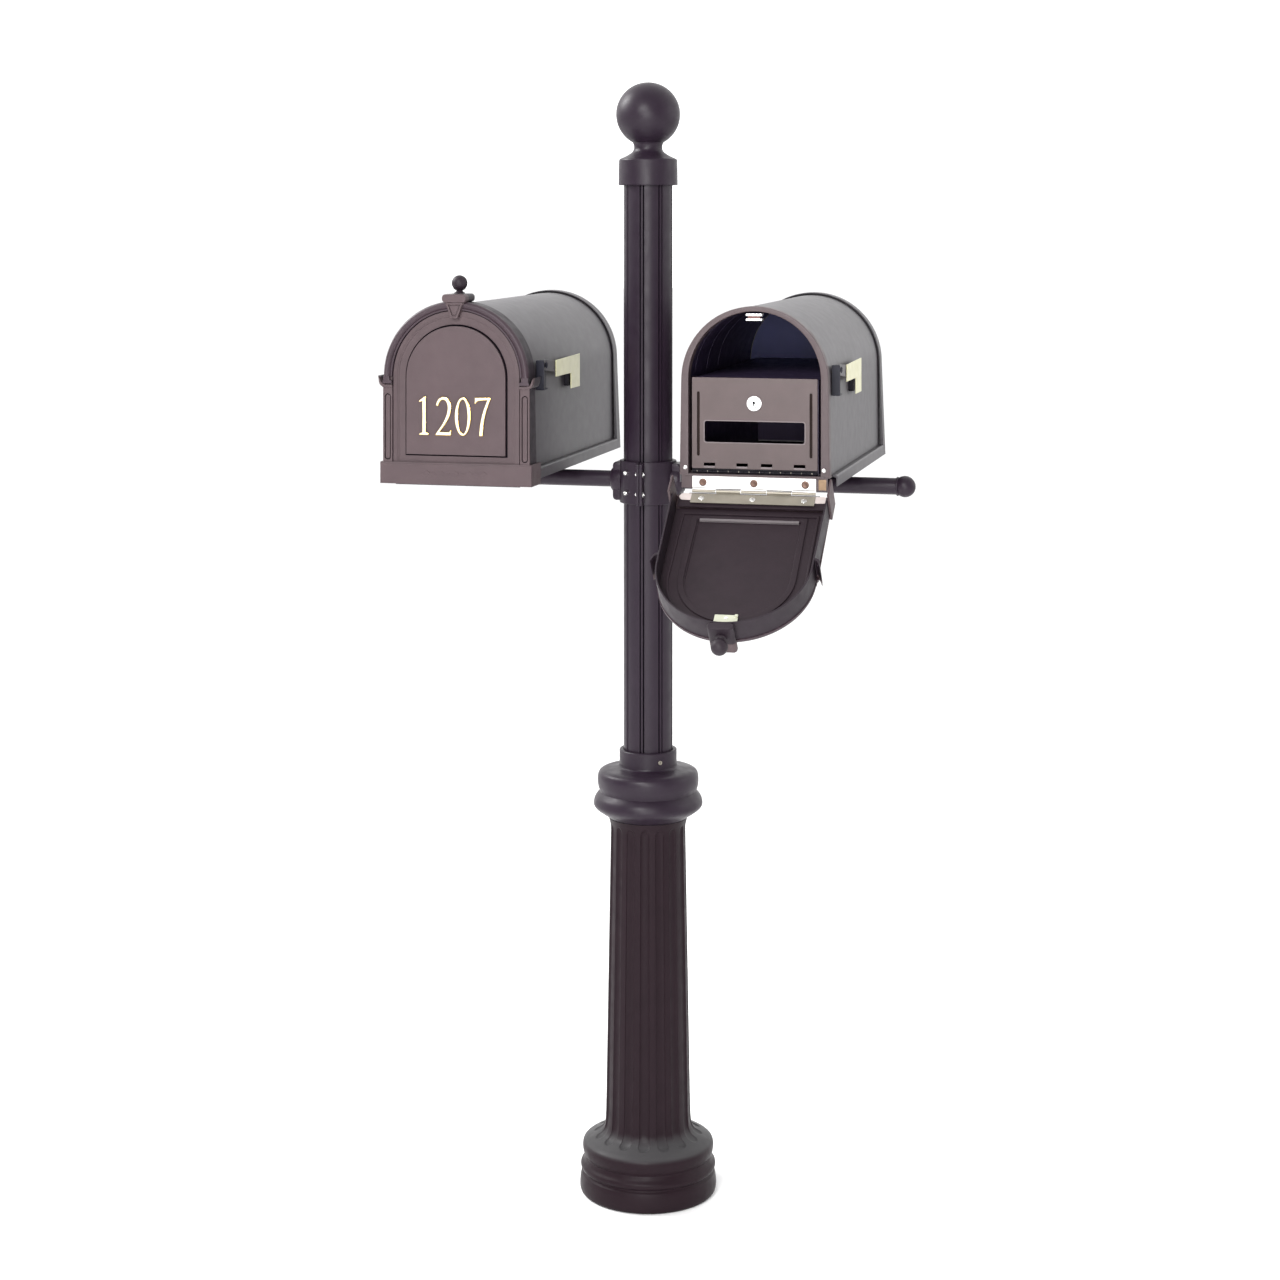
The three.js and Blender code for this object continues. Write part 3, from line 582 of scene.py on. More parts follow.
def pedestal():
    """Stepped round foot, dome and fluted column, as a hollow casting."""
    foot = [
        *smooth((101, 0), (105, 4), (106.3, 12), (105.3, 24), (103.6, 31)),
        *smooth((101.4, 33), (101, 35.5), (103.5, 37.5), (105, 41), (104.4, 45), (100.5, 50),
                (98, 56)),
        *smooth((98.8, 57.5), (101, 63), (102, 71), (100.6, 78), (96, 82), (90, 85), (81, 89.5),
                (73, 94), (68.4, 101), (66.6, 112), (65.8, 128), steps=8),
    ]
    steps = 30
    column = [(65.6 - 7.2 * i / steps, 135 + 421 * i / steps) for i in range(steps + 1)]
    head = smooth((58.3, 560), (58.4, 566), (58.9, 571), (60, 576), (61.5, COLUMN_TOP))
    inside = [(46, COLUMN_TOP), (46, 560), (53, 540), (59, 122), (61, 88), (74, 80), (92, 68),
              (93, 0)]
    pitch = 360 / FLUTES
    channel = [FLUTE_HALF * math.sin(math.radians(a)) for a in range(-90, 91, 12)]
    ridge = [FLUTE_HALF + (pitch - 2 * FLUTE_HALF) * i / 5 for i in range(1, 5)]
    azimuths = [FLUTE_TURN + k * pitch + off for k in range(FLUTES) for off in channel + ridge]
    return lathe([*foot, *column, *head, *inside], azimuths, flute_push)


def pedestal_collar():
    """Double ring with the neck that the post stands in."""
    low = COLUMN_TOP + 0.3
    return lathe([
        (42, low), (61, low),
        *smooth((66, 586), (74, 591), (81, 596.2), (84.8, 601.5), (84.8, 607), (82.8, 613.6),
                (79, 619), (75.6, 622.4), steps=5),
        *smooth((75.8, 624), (78, 631), (78.9, 640), (78.3, 648), (75.8, 653.5), (70, 656.8),
                (60, 658.6), (50, 659.8), (46, 661.4), steps=5),
        (44.7, 664), (44.7, COLLAR_TOP - 1), (43.8, COLLAR_TOP), (39.2, COLLAR_TOP), (39.2, 600),
    ])


def strip_push(radius, height, azimuth):
    """Raised strips with a groove on each side of them, round the post."""
    off = abs((azimuth - STRIP_TURN + 180 / STRIPS) % (360 / STRIPS) - 180 / STRIPS)
    if radius < POST_RADIUS - 1 or off > GROOVE_EDGE:
        return 0, 0
    return (-STRIP_RISE if off < STRIP_HALF else GROOVE_DEPTH), 0


def post_tube():
    """Round post with its strips; the azimuths crowd at the strips' and grooves' edges."""
    z0, z1 = span("post_tube")[2]
    strip = 360 / STRIPS
    near = [0, STRIP_HALF - 0.2, STRIP_HALF + 0.2, GROOVE_EDGE - 0.2, GROOVE_EDGE + 0.2]
    near = [-off for off in near[:0:-1]] + near
    between = [near[-1] + (strip - 2 * near[-1]) * i / 10 for i in range(1, 10)]
    azimuths = [STRIP_TURN + k * strip + off for k in range(STRIPS) for off in near + between]
    inner = POST_RADIUS - 3.2
    wall = [(inner, z0), (POST_RADIUS, z0), (POST_RADIUS, z1), (inner, z1)]
    return lathe(wall, azimuths, strip_push)


def post_groove_shade():
    """Near-black lining that paints the shade at the bottoms of the post's grooves."""
    z0, z1 = span("post_tube")[2]
    outer, inner = POST_RADIUS - 1.6, POST_RADIUS - 3
    return lathe([(inner, z0 + 1), (outer, z0 + 1), (outer, z1 - 1), (inner, z1 - 1)])


def post_cap():
    """Cap over the post's end, drawn in to the neck under the ball."""
    return lathe([
        (38.6, CAP_BOTTOM), (CAP_RADIUS - 0.8, CAP_BOTTOM), (CAP_RADIUS, CAP_BOTTOM + 0.8),
        (CAP_RADIUS - 0.6, 1606.5), (CAP_RADIUS - 1.6, 1608.8),
        *smooth((CAP_RADIUS - 2.4, 1609.4), (34, 1614), (25.5, 1619.5), (22.6, 1624), (22.2, 1628),
                (23, 1632.5), (26, 1637.5)),
        (0, 1637.5), (0, 1600.3), (38.6, 1600.3),
    ])


def ball_finial():
    """Ball, cut flat where it stands on the cap's neck."""
    ball = arc(0, BALL_CENTRE, BALL_RADIUS, -62, 89, 48)
    return lathe([(0, ball[0][1]), *ball, (0, BALL_CENTRE + BALL_RADIUS)])


def clamp_half(side):
    """Half of the split clamp, with its flanges and the socket of one arm."""
    start = 90 - math.degrees(math.asin(0.3 / CLAMP_RADIUS))
    outer = arc(0, 0, CLAMP_RADIUS, -start, start, 40)
    inner = arc(0, 0, POST_RADIUS + 0.3, start, -start, 40)
    parts = [slab(outer + inner, CLAMP_BOTTOM, CLAMP_TOP, 1.2, axis="Z")]
    for y in ((38.5, 61), (-61, -38.5)):
        parts.append(slab(rectangle(*y, CLAMP_BOTTOM, CLAMP_TOP, 4), 0.3, 4.6, 0.8, axis="X"))
    parts.append(block((38, 54), (-15, 15), (CLAMP_BOTTOM + 3, CLAMP_TOP - 3), 3, 6))
    parts.append(turned([
        (0, 40), (22, 40), (21.5, 50), (19.5, 55), (16.5, 57.6), (13, 57.6), (13, 41)],
        (0, 0, ARM_Z), "+X"))
    whole = merged(*parts)
    if side < 0:
        whole.transform(Matrix.Rotation(math.pi, 4, "Z"))
    return whole


def clamp_bolt(name):
    """Bolt through both flanges: a small round head on the left, a nut on the right."""
    (x0, x1), (y0, y1), (z0, z1) = span(name)
    y, z = (y0 + y1) / 2, (z0 + z1) / 2
    return merged(
        rod(1.9, x1 - x0 - 3, (x0 + 1.5, y, z), "+X"),
        rod(3.2, 2.0, (-6.6, y, z), "+X", 0.8),
        slab(circle(y, z, 4.2, 6), 4.7, x1 - 3.2, 0.5, axis="X"))


def set_screw(azimuth, reach, z, length=5.0):
    """Socket screw that stands out of a round piece of the post, towards an azimuth."""
    made = merged(rod(3.2, length, (0, 0, 0), "-Y", 0.5),
                  turned([(0, length), (1.5, length), (1.9, length + 0.5), (2.6, length + 0.5),
                          (3.0, length), (3.0, length - 1), (0, length - 1)], (0, 0, 0), "-Y", 24))
    turn = Matrix.Rotation(math.radians(azimuth), 4, "Z")
    made.transform(turn @ Matrix.Translation((0, -reach, z)))
    return made


def arm(side):
    """Side arm: a tube that its end ball is pushed into."""
    start = span("right_arm")[0][0]
    wall = ARM_RADIUS - 2.5
    return turned([
        (wall, start), (ARM_RADIUS, start), (ARM_RADIUS, ARM_END - 0.6),
        (ARM_RADIUS - 0.6, ARM_END), (wall, ARM_END)], (0, 0, ARM_Z), OUTWARD[side])


def arm_ball(side):
    """Ball on a neck with a ring, pushed into the arm's end."""
    radius = 16.3
    centre = span("right_arm_ball")[0][1] - radius
    neck = [(0, centre - 25), (9.8, centre - 25), (9.8, centre - 12.8), (13.6, centre - 12.8),
            (14.6, centre - 11.8), (14.6, centre - 10.2), (13.6, centre - 9.4)]
    ball = arc(0, centre, radius, -35, 85, 24)
    return turned([*neck, *ball, (0, centre + radius)], (0, 0, ARM_Z), OUTWARD[side])


def saddle():
    """Cradle that sits over the arm, under a box's floor."""
    top = FLOOR - 2.8
    seat = ARM_RADIUS + 0.3
    outline = [(-20, 1100), (-seat, 1100), *arc(0, ARM_Z, seat, 180, 0, 20), (seat, 1100),
               (20, 1100), (20, top - 8), (32, top - 3), (32, top), (-32, top), (-32, top - 3),
               (-20, top - 8)]
    return slab(outline, -35, 35, 0.8, axis="X")


def build_post():
    """Everything that the boxes hang on."""
    coat = dict(material=POST_COAT, body="post", slot="post_coat")
    new_piece("pedestal_casting", pedestal(), PEDESTAL_LIT_COAT, "post", "post_coat", ["pedestal"],
              sharp=50)
    new_piece("collar_casting", pedestal_collar(), replaces=["pedestal_collar"], **coat)
    new_piece("ribbed_post", post_tube(), replaces=["post_tube"], sharp=20, **coat)
    new_piece("post_painted_groove_shade", post_groove_shade(), GROOVE_SHADE_COAT, "post", "post_coat")
    new_piece("cap_casting", post_cap(), replaces=["post_cap"], **coat)
    new_piece("finial", ball_finial(), replaces=["ball_finial"], **coat)
    new_piece("collar_screw", set_screw(38, 44, COLLAR_TOP - 14, 2.2), GREY_ZINC, "post", "zinc")
    for name, side in SIDES.items():
        new_piece(f"{name}_clamp", clamp_half(side), replaces=[f"{name}_clamp_half"], **coat)
        new_piece(f"{name}_tube", arm(side), replaces=[f"{name}_arm"], **coat)
        new_piece(f"{name}_end_ball", arm_ball(side), replaces=[f"{name}_arm_ball"], **coat)
        cradle = saddle()
        cradle.transform(Matrix.Translation((side * BOX_X, 0, 0)))
        new_piece(f"{name}_cradle", cradle, replaces=[f"{name}_saddle"], **coat)
    for bolt in [name for name in frame["nodes"] if name.startswith("clamp_bolt")]:
        new_piece(f"{bolt}_hex", clamp_bolt(bolt), STAINLESS, "post", "stainless", [bolt])
    for word, level in (("lower", -15.5), ("upper", 15.5)):
        height = (CLAMP_BOTTOM + CLAMP_TOP) / 2 + level
        new_piece(f"set_screw_{word}", set_screw(-34, CLAMP_RADIUS - 0.5, height), STAINLESS,
                  "post", "stainless")
    foot = frame["nodes"]["anchor_plate"]
    foot.data.materials.clear()
    foot.data.materials.append(ZINC)


# ---- letter box, fixed pieces ----

def body_shell():
    """Outer skin of a box: an arch on upright sides."""
    low = FLOOR + 0.3
    return slab(arched(SHELL_FOOT, SHELL_HALF, low), SHELL_FRONT, SHELL_BACK, 0.25,
                [arched(SHELL_FOOT - 1, SHELL_HALF - 1, low + 0.8)])


def liner():
    """Inner skin of the shell, with the pressed ribs that show inside."""
    low = FLOOR + 0.3
    inner = SHELL_HALF - SHELL_WALL
    parts = [slab(arched(SHELL_FOOT - 1.1, SHELL_HALF - 1.1, low), SHELL_FRONT + 0.5,
                  SHELL_BACK - 0.5, 0.2, [arched(SHELL_FOOT - SHELL_WALL, inner, low + 0.8)])]
    for y in (-190, -110, -30):
        outer_edge = arc(0, SPRING, inner + 0.4, 4, 176, ARCH_STEPS)
        inner_edge = arc(0, SPRING, inner - 0.3, 176, 4, ARCH_STEPS)
        parts.append(slab(outer_edge + inner_edge, y, y + 4, 0.25))
    return merged(*parts)


def back_lining():
    """Inside face of the back wall above the deck."""
    return slab(arched(SHELL_FOOT - 3, SHELL_HALF - 2.8, DECK_TOP - 4), *BACK_WALL, 0.4)


def back_foot():
    """Inside face of the back wall below the deck."""
    half = SHELL_FOOT - 3
    return slab(rectangle(-half, half, FLOOR + 3, DECK_TOP - 4.4), *BACK_WALL, 0.4)


def rear_cap():
    """Pressed end: a rim that stands proud of the shell, and a back wall with a raised arch."""
    outer = arched(SKIRT_HALF, 110.5, SKIRT_BOTTOM)
    return merged(
        slab(outer, RIM_FRONT, RIM_FRONT + 10, 0.8, [arched(111.2, 108.5, SKIRT_BOTTOM + 3)]),
        slab(outer, RIM_FRONT + 9, RIM_BACK, 1.6, [arched(111.2, 105.2, SKIRT_BOTTOM + 6)]),
        slab(arched(113, 107.4, SKIRT_BOTTOM + 3), 229, 232, 0.5),
        slab(arched(88, 84, SKIRT_BOTTOM + 34), 231, 233.6, 1.2,
             [arched(82, 78, SKIRT_BOTTOM + 40)]))


def floor_pan():
    """Floor plate with a folded skirt along each side."""
    back = RIM_FRONT - 0.3
    parts = [slab(rectangle(-108, 108, FLOOR - 2.5, FLOOR), FRAME_BACK + 0.3, back, 0.3)]
    edge = [(106, FLOOR - 2.5), (SKIRT_HALF - 2, FLOOR - 4), (SKIRT_HALF - 2, SKIRT_BOTTOM),
            (SKIRT_HALF, SKIRT_BOTTOM), *arc(SKIRT_HALF - 3, FLOOR - 3, 3, 0, 90, 6),
            (108.6, FLOOR), (106, FLOOR)]
    parts += both(lambda side: slab(sided(edge, side), -237.5, back, 0.3))
    return merged(*parts)


def front_frame():
    """Cast ring round the mouth, with the sill and the apron below it."""
    ring = slab(arched(110, 107.9, FLOOR - 2.5), FRAME_FRONT, FRAME_BACK, 1.3,
                [arched(97, 97, FLOOR, 1287.5)])
    apron = block((-107, 107), (FRAME_FRONT, FRAME_FRONT + 2.5), (1128.4, FLOOR - 1), 0.5)
    lip = slab(arched(101, 100.6, FLOOR + 1, 1287), FRAME_BACK - 1, FRAME_BACK + 2, 0.6,
               [arched(97.4, 97.2, FLOOR + 2, 1287)])
    sill = block((-103, 103), (FRAME_FRONT - 1.6, FRAME_FRONT + 1), (FLOOR - 3.5, FLOOR - 0.6), 0.5)
    return merged(ring, apron, lip, sill)


def sheet_hinge():
    """Continuous hinge along the insert panel's foot: a row of short knuckles."""
    parts = [block((-92, 92), (-262.8, -261.4), (FLOOR + 0.4, 1158), 0.3)]
    for i in range(SHEET_KNUCKLES):
        x = (i - SHEET_KNUCKLES / 2) * SHEET_PITCH
        parts.append(rod(2.1, SHEET_PITCH - 0.7, (x + 0.35, -263.2, FLOOR + 3), "+X", 0.3, 20))
    return merged(*parts)


def knuckle_marks():
    """Small bright discs, one on the middle of each knuckle."""
    middles = [(i - (SHEET_KNUCKLES - 1) / 2) * SHEET_PITCH for i in range(SHEET_KNUCKLES)]
    return merged(*[rod(1.2, 1.0, (x - 0.5, -265.2, FLOOR + 3.6), "+X", 0.2, 12) for x in middles])


def strike():
    """Two steel cheeks that hold a magnet between them."""
    return merged(*[block((-11.6, 11.6), (STRIKE_FRONT, -257), height, 0.4)
                    for height in ((1378.2, 1381.4), (1371.4, 1374.4))])


def magnet():
    """Bar between the cheeks."""
    return block((-9, 9), (STRIKE_FRONT + 0.8, -258), (1374.3, 1378.3), 0.3)


def insert_housing():
    """Folded sheet: the deck that parcels stand on, its sides and its front lip."""
    half, sheet = 92.5, 1.2
    low = FLOOR + 0.3
    under, inner = DECK_TOP - sheet, half - sheet
    channel = [(-half, low), (-half, DECK_TOP), (half, DECK_TOP), (half, low), (inner, low),
               (inner, under), (-inner, under), (-inner, low)]
    front = span("right_insert_housing")[1][0]
    return merged(slab(channel, front, SHELL_BACK - 1, 0.2),
                  block((0.6 - half, half - 0.6), (front, front + sheet), (1272, DECK_TOP), 0.3))


def hinge_leaf(owner):
    """Plate of the butt hinge, with the tongues that run to its knuckles."""
    plate = LEAF_AT[owner]
    parts = [block((-90.5, 90.5), plate, (1128.4, 1146), 0.3, 1.0)]
    for x0, x1 in KNUCKLES[owner]:
        parts.append(block((x0 + 0.2, x1 - 0.2), plate, (HINGE_Z, 1130), 0.2))
    return merged(*parts)


def hinge_knuckles(owner):
    """The rolled knuckles on one leaf's edge."""
    parts = []
    for x0, x1 in KNUCKLES[owner]:
        length = x1 - x0
        parts.append(turned([
            (1.5, 0.2), (2.0, 0.2), (2.3, 0.5), (2.3, length - 0.5), (2.0, length - 0.2),
            (1.5, length - 0.2)], (x0, HINGE_Y, HINGE_Z), "+X", 24))
    return merged(*parts)


def flag_bracket():
    """Folded bracket on the box's side: a plate, a front cheek and the stud the flag turns on."""
    side = 107.3
    pivot_y, pivot_z = FLAG_PIVOT
    plate = [(-226, 1263), (-199.5, 1263), (-199.5, 1290), (-203, 1294),
             *arc(-212, 1298, 9, -10, 100, 10), (-226, 1307)]
    return merged(
        slab(plate, side + 4.2, side + 6.2, 0.5, axis="X"),
        block((side - 0.2, side + 12), (-232, -229.6), (1262.5, 1307), 0.6, 1.5),
        block((side - 0.2, side + 11.4), (-230, -208), (1262.5, 1264.7), 0.6),
        block((side - 0.2, side + 6.2), (-202, -199.4), (1263.5, 1289), 0.6),
        slab(rectangle(-230, -226, 1264, 1305), side + 3, side + 6, 0.5, axis="X"),
        rod(3, 4.6, (side + 6, pivot_y, pivot_z), "+X"),
        screw_head((side + 10.2, pivot_y, pivot_z), "+X", 5, 1.9, 45))


def flag_rest():
    """Block on the box's side, just behind the lowered flag; its dark coat is painted shade."""
    return slab(rectangle(-78, -64, 1258, 1277, 2), SHELL_HALF + 0.4, SHELL_HALF + 8, 0.8, axis="X")


# ---- letter box, moving pieces ----

def panel_outline(beyond):
    """The door's raised panel, made larger by beyond all round."""
    half = PANEL_HALF + beyond
    return arched(half, half, PANEL_BOTTOM - beyond, PANEL_SPRING)


def door_front():
    """Field of the door with its arched raised panel and the stepped moulding round that."""
    field = slab(arched(DOOR_FOOT, DOOR_HALF, BAND_TOP - 6), DOOR_FIELD, DOOR_INSIDE - 0.9, 0.9,
                 [panel_outline(2.1)])
    raised = slab(panel_outline(0), -287.9, DOOR_INSIDE - 1.7, 0.9)
    flat_back = slab(arched(112, 109.4, BAND_TOP - 5), DOOR_INSIDE - 1.6, DOOR_INSIDE - 0.4, 0.3,
                     [panel_outline(-2.9)])
    outer_step = slab(arched(97.5, 97.5, BAND_TOP - 1), -285.6, MOULDING_BACK, 0.6,
                      [arched(92, 92, BAND_TOP - 2.4)])
    inner_step = slab(arched(92.6, 92.6, BAND_TOP - 1), -284.9, MOULDING_BACK, 0.4,
                      [arched(89, 89, BAND_TOP + 1.6)])
    return merged(field, raised, flat_back, outer_step, inner_step)


def arch_moulding(profile, start=0, end=180):
    """A closed (radius, y) profile swept round the arch over the door, with flat ends."""
    corners, faces = [], []
    count = len(profile)
    for i in range(ARCH_STEPS + 1):
        turn = math.radians(start + (end - start) * i / ARCH_STEPS)
        corners += [(r * math.cos(turn), y, SPRING + r * math.sin(turn)) for r, y in profile]
    for i in range(ARCH_STEPS):
        for k in range(count):
            near, far = i * count, (i + 1) * count
            faces.append((near + k, near + (k + 1) % count, far + (k + 1) % count, far + k))
    faces += [tuple(range(count)), tuple(range(ARCH_STEPS * count, (ARCH_STEPS + 1) * count))]
    mesh = bpy.data.meshes.new("moulding")
    mesh.from_pydata(corners, [], faces)
    return welded(mesh)


def hood():
    """Heavy round moulding over the door, ending in a small foot on each pilaster."""
    back = MOULDING_BACK
    roll = [(101.6, back), (101.6, -286.4), (102.6, -288.2), (104.4, -289.9),
            *smooth((106.4, -290.9), (108.6, -290.8), (110.6, -289.2), (111.8, -286.6), steps=4),
            (112, back)]
    fillet = [(PILASTER_IN, back), (PILASTER_IN, -287), (99.2, -287.7), (101, -287.7),
              (101.8, -287), (101.8, back)]
    foot = [(98.5, 1273), (113.2, 1273), (113.4, 1276), (112, 1278), (112, SPRING + 0.6),
            (102.4, SPRING + 0.6), (102.2, 1278.6), (98.5, 1277)]
    feet = both(lambda side: slab(sided(foot, side), -290.2, back, 0.9))
    return merged(arch_moulding(roll), arch_moulding(fillet), *feet)


def pilaster(side):
    """Flat pier at the door's edge, with a head and a sunk face that has round ends."""
    middle = (PILASTER_IN + PILASTER_OUT) / 2
    shaft = rectangle(PILASTER_IN, PILASTER_OUT, BAND_TOP - 1, 1268.5)
    hole = stadium(middle, BAND_TOP + 3, 1258, 4.6)
    sunk = stadium(middle, BAND_TOP + 4.4, 1256.6, 3.5)
    head = rectangle(PILASTER_IN - 0.4, PILASTER_OUT + 0.6, 1267.5, 1271.5)
    return merged(
        slab(sided(shaft, side), -286.6, MOULDING_BACK, 0.5, [sided(hole, side)]),
        slab(sided(head, side), -288.6, MOULDING_BACK, 0.7),
        slab(sided(sunk, side), -285.8, MOULDING_BACK, 0.5))


def ear(side, front=-289.6, back=BLOCK_SPLIT):
    """Curled tip at the spring line that runs back along the door's side."""
    wing = smooth((109.8, 1268.5), (114, 1268.8), (118, 1272.8), (120, 1284.5)) \
        + smooth((118.4, 1282.5), (115.8, 1276), (113, 1272.8), (109.8, 1272.6))
    return slab(sided(wing, side), front, back, 0.6)


def keystone():
    """Wedge with a sunk face, and over it the front of the block that carries the knob."""
    wedge = [(-5, 1371), (5, 1371), (13.4, 1393.8), (-13.4, 1393.8)]
    sunk = [(-3.1, 1374.4), (3.1, 1374.4), (9.4, 1391), (-9.4, 1391)]
    nose = [(-2.3, 1376.2), (2.3, 1376.2), (7.6, 1389.6), (-7.6, 1389.6)]
    return merged(
        slab(wedge, -295, MOULDING_BACK, 0.7, [sunk]), slab(sunk, -292.4, MOULDING_BACK, 0.3),
        slab(nose, -293.6, DOOR_FIELD, 0.6),
        slab([(-13, 1390), (13, 1390), (15.2, 1394.4), (-15.2, 1394.4)], -293, DOOR_INSIDE, 0.8),
        slab(rectangle(-18.5, 18.5, 1394, 1406.3, 5), -297, BLOCK_SPLIT, 1.8))


def door_edge():
    """What runs back from the door's face, and a lip that hides the hinge when it is shut; their
    dark coat is painted shade.
    """
    knob_block = slab(rectangle(-18.3, 18.3, 1394.1, 1406.2, 5), BLOCK_SPLIT - 2, -249.8, 1.8)
    lip = block((-96, 96), (-278.8, -275.8), (1122.9, DOOR_BOTTOM + 1), 0.4)
    tails = both(lambda side: ear(side, BLOCK_SPLIT - 1, DOOR_RIM - 0.4))
    return merged(side_wall(), knob_block, lip, *tails)


def door_grooves():
    """Near-black linings that paint the shade at the bottoms of the grooves in the door's face."""
    line = stadium((PILASTER_IN + PILASTER_OUT) / 2, BAND_TOP + 3.2, 1257.8, 4.5)
    return merged(
        slab(panel_outline(4), DOOR_FIELD + 0.7, DOOR_INSIDE - 0.2, 0.1, [panel_outline(-3)]),
        slab(arched(99.2, 99.2, BAND_TOP - 0.5), DOOR_FIELD - 0.4, DOOR_FIELD + 0.2, 0.1,
             [arched(96.8, 96.8, BAND_TOP - 1)]),
        *both(lambda side: slab(sided(line, side), DOOR_FIELD - 0.3, DOOR_FIELD + 0.2, 0.1)))


def door_knob():
    """Ball on a waisted neck, on top of the door."""
    base, centre, radius = 1406.8, 1422, 11.8
    neck = [(0, base), (8, base), (8, base + 1), (5.4, base + 2.4), (4.6, base + 4),
            (5.2, base + 5.4)]
    ball = arc(0, centre, radius, -60, 84, 24)
    return turned([*neck, *ball, (0, centre + radius)], (0, -268, 0))


def side_wall():
    """Side wall of the door, from its field back to its rim: two uprights under an arch."""
    foot, wall = BAND_TOP - 6, 2.4
    outer = arched(DOOR_FOOT, DOOR_HALF, foot)[1:]
    inner = arched(DOOR_FOOT - wall, DOOR_HALF - wall, foot)[1:]
    outline = outer + [(-DOOR_FOOT, foot), (wall - DOOR_FOOT, foot)] + inner[::-1]
    return slab(outline, DOOR_FIELD + 0.4, DOOR_RIM, 0.6)


def band():
    """Deep band along the door's foot, with its cheeks, floor and a moulded upper edge."""
    half, inner = BAND_HALF, BAND_HALF - 3
    depth, height = (BAND_FRONT + 0.6, BAND_BACK), (DOOR_BOTTOM, BAND_TOP)
    edge = [(BAND_FRONT + 0.4, BAND_TOP - 3), (BAND_FRONT + 1.4, BAND_TOP),
            (DOOR_FIELD + 1, BAND_TOP), (DOOR_FIELD + 1, BAND_TOP - 3)]
    return merged(
        block((-half, half), (BAND_FRONT, BAND_FRONT + 3.2), (DOOR_BOTTOM, BAND_TOP - 2), 0.9),
        slab(edge, -half + 0.6, half - 0.6, 0.3, axis="X"),
        block((inner, half), depth, height, 0.8),
        block((-half, -inner), depth, height, 0.8),
        block((-inner - 1, inner + 1), (BAND_FRONT + 1, -278.4),
              (DOOR_BOTTOM, DOOR_BOTTOM + 2.6), 0.4))


def band_ornament():
    """Plain low relief on the band: lozenges between short bars."""
    parts = []
    for i in range(-2, 3):
        x = i * 22
        parts.append(slab([(x - 6, 1141.5), (x, 1137), (x + 6, 1141.5), (x, 1146)],
                          BAND_FRONT - 0.6, BAND_FRONT + 0.4, 0.3))
        if i < 2:
            parts.append(block((x + 8.5, x + 13.5), (BAND_FRONT - 0.5, BAND_FRONT + 0.4),
                               (1140.6, 1142.4), 0.3))
    return merged(*parts)


def dish_relief():
    """What shows on the door's inner face: stepped arches and the catch's boss."""
    step = slab(arched(100, 100, BAND_TOP + 2), DOOR_INSIDE - 0.6, DOOR_INSIDE + 2.1, 0.9,
                [arched(96.4, 96.4, BAND_TOP + 5.6)])
    sunk = arched(PANEL_HALF - 1.2, PANEL_HALF - 1.2, PANEL_BOTTOM + 3.4, PANEL_SPRING)
    edge = slab(arched(84, 84, PANEL_BOTTOM - 4, PANEL_SPRING), DOOR_INSIDE - 0.6,
                DOOR_INSIDE + 1.9, 0.9, [sunk])
    boss = block((-14, 14), (DOOR_INSIDE - 1, -271.2), (CATCH_Z - 9, CATCH_Z + 8.6), 1.2, 2)
    return merged(step, edge, boss)


def inner_skin():
    """Inner face of the door, in a coat darker than its front, with the strips below it."""
    return merged(
        slab(arched(111, 108.3, BAND_TOP - 4), DOOR_INSIDE - 0.5, DOOR_INSIDE - 0.1, 0.1,
             [panel_outline(-3)]),
        slab(panel_outline(-3), -283.1, -282.3, 0.1),
        block((-109, 109), (-278, -275.4), (DOOR_BOTTOM + 0.4, 1151), 0.5),
        block((3 - BAND_HALF, BAND_HALF - 3), (DOOR_FIELD, DOOR_INSIDE),
              (BAND_TOP - 6.5, BAND_TOP - 1), 0.5))


def panel_ledge():
    """Lower edge of the sunk panel inside the door, lit by a painted reflection of the floor."""
    half = PANEL_HALF - 4.5
    return block((-half, half), (-284.4, DOOR_INSIDE + 2.1), (PANEL_BOTTOM + 1.6, PANEL_BOTTOM + 6))


def hinge_plate():
    """Plate with round ends, between the door and its leaf."""
    outline = [(-102, 1126.2), (102, 1126.2), *arc(102, 1132.7, 6.5, -90, 90, 14),
               *arc(-102, 1132.7, 6.5, 90, 270, 14)]
    return slab(outline, -275, -273.6, 0.4)


def catch_plate():
    """Steel plate that the magnet holds, folded at one side."""
    front, half, low = -270.8, 16.4, CATCH_Z - 7.4
    return merged(block((-half, half), (front, front + 1.4), (low, CATCH_Z + 7.4), 0.3, 1.2),
                  block((12, half), (front, front + 3.4), (low, CATCH_Z - 3), 0.4))


def insert_panel():
    """Locked sheet with its lock hole, mail slot, side slots and lower notches."""
    holes = [rectangle(-73.5, 73.5, 1195, 1226, 3), circle(0, LOCK_Z, 8.6)]
    holes += [stadium(x, 1175, 1268, 2) for x in SIDE_SLOTS]
    holes += [rectangle(x - 8.3, x + 8.3, 1160.8, 1165.2, 0.3) for x in NOTCHES]
    low, high = span("right_insert_panel")[2]
    sheet = slab(rectangle(-92, 92, low + 1, high, 1.5), SHEET_FRONT, SHEET_BACK, 0.35, holes)
    fold = slab(rectangle(-91.4, 91.4, high - 1.4, high), SHEET_FRONT + 0.2, SHEET_FRONT + 5.4, 0.3)
    return merged(sheet, fold)


def slot_trim():
    """Folded edge round the mail slot, and the tabs under the notches."""
    edge = slab(rectangle(-74.7, 74.7, 1193.9, 1227.1, 4), SHEET_FRONT - 0.25, SHEET_FRONT + 0.5,
                0.2, [rectangle(-73.2, 73.2, 1195.3, 1225.7, 3)])
    depth = (SHEET_FRONT - 1.0, SHEET_FRONT + 0.4)
    return merged(edge, *[block((x - 8.2, x + 8.2), depth, (1158, 1160.8), 0.25) for x in NOTCHES])


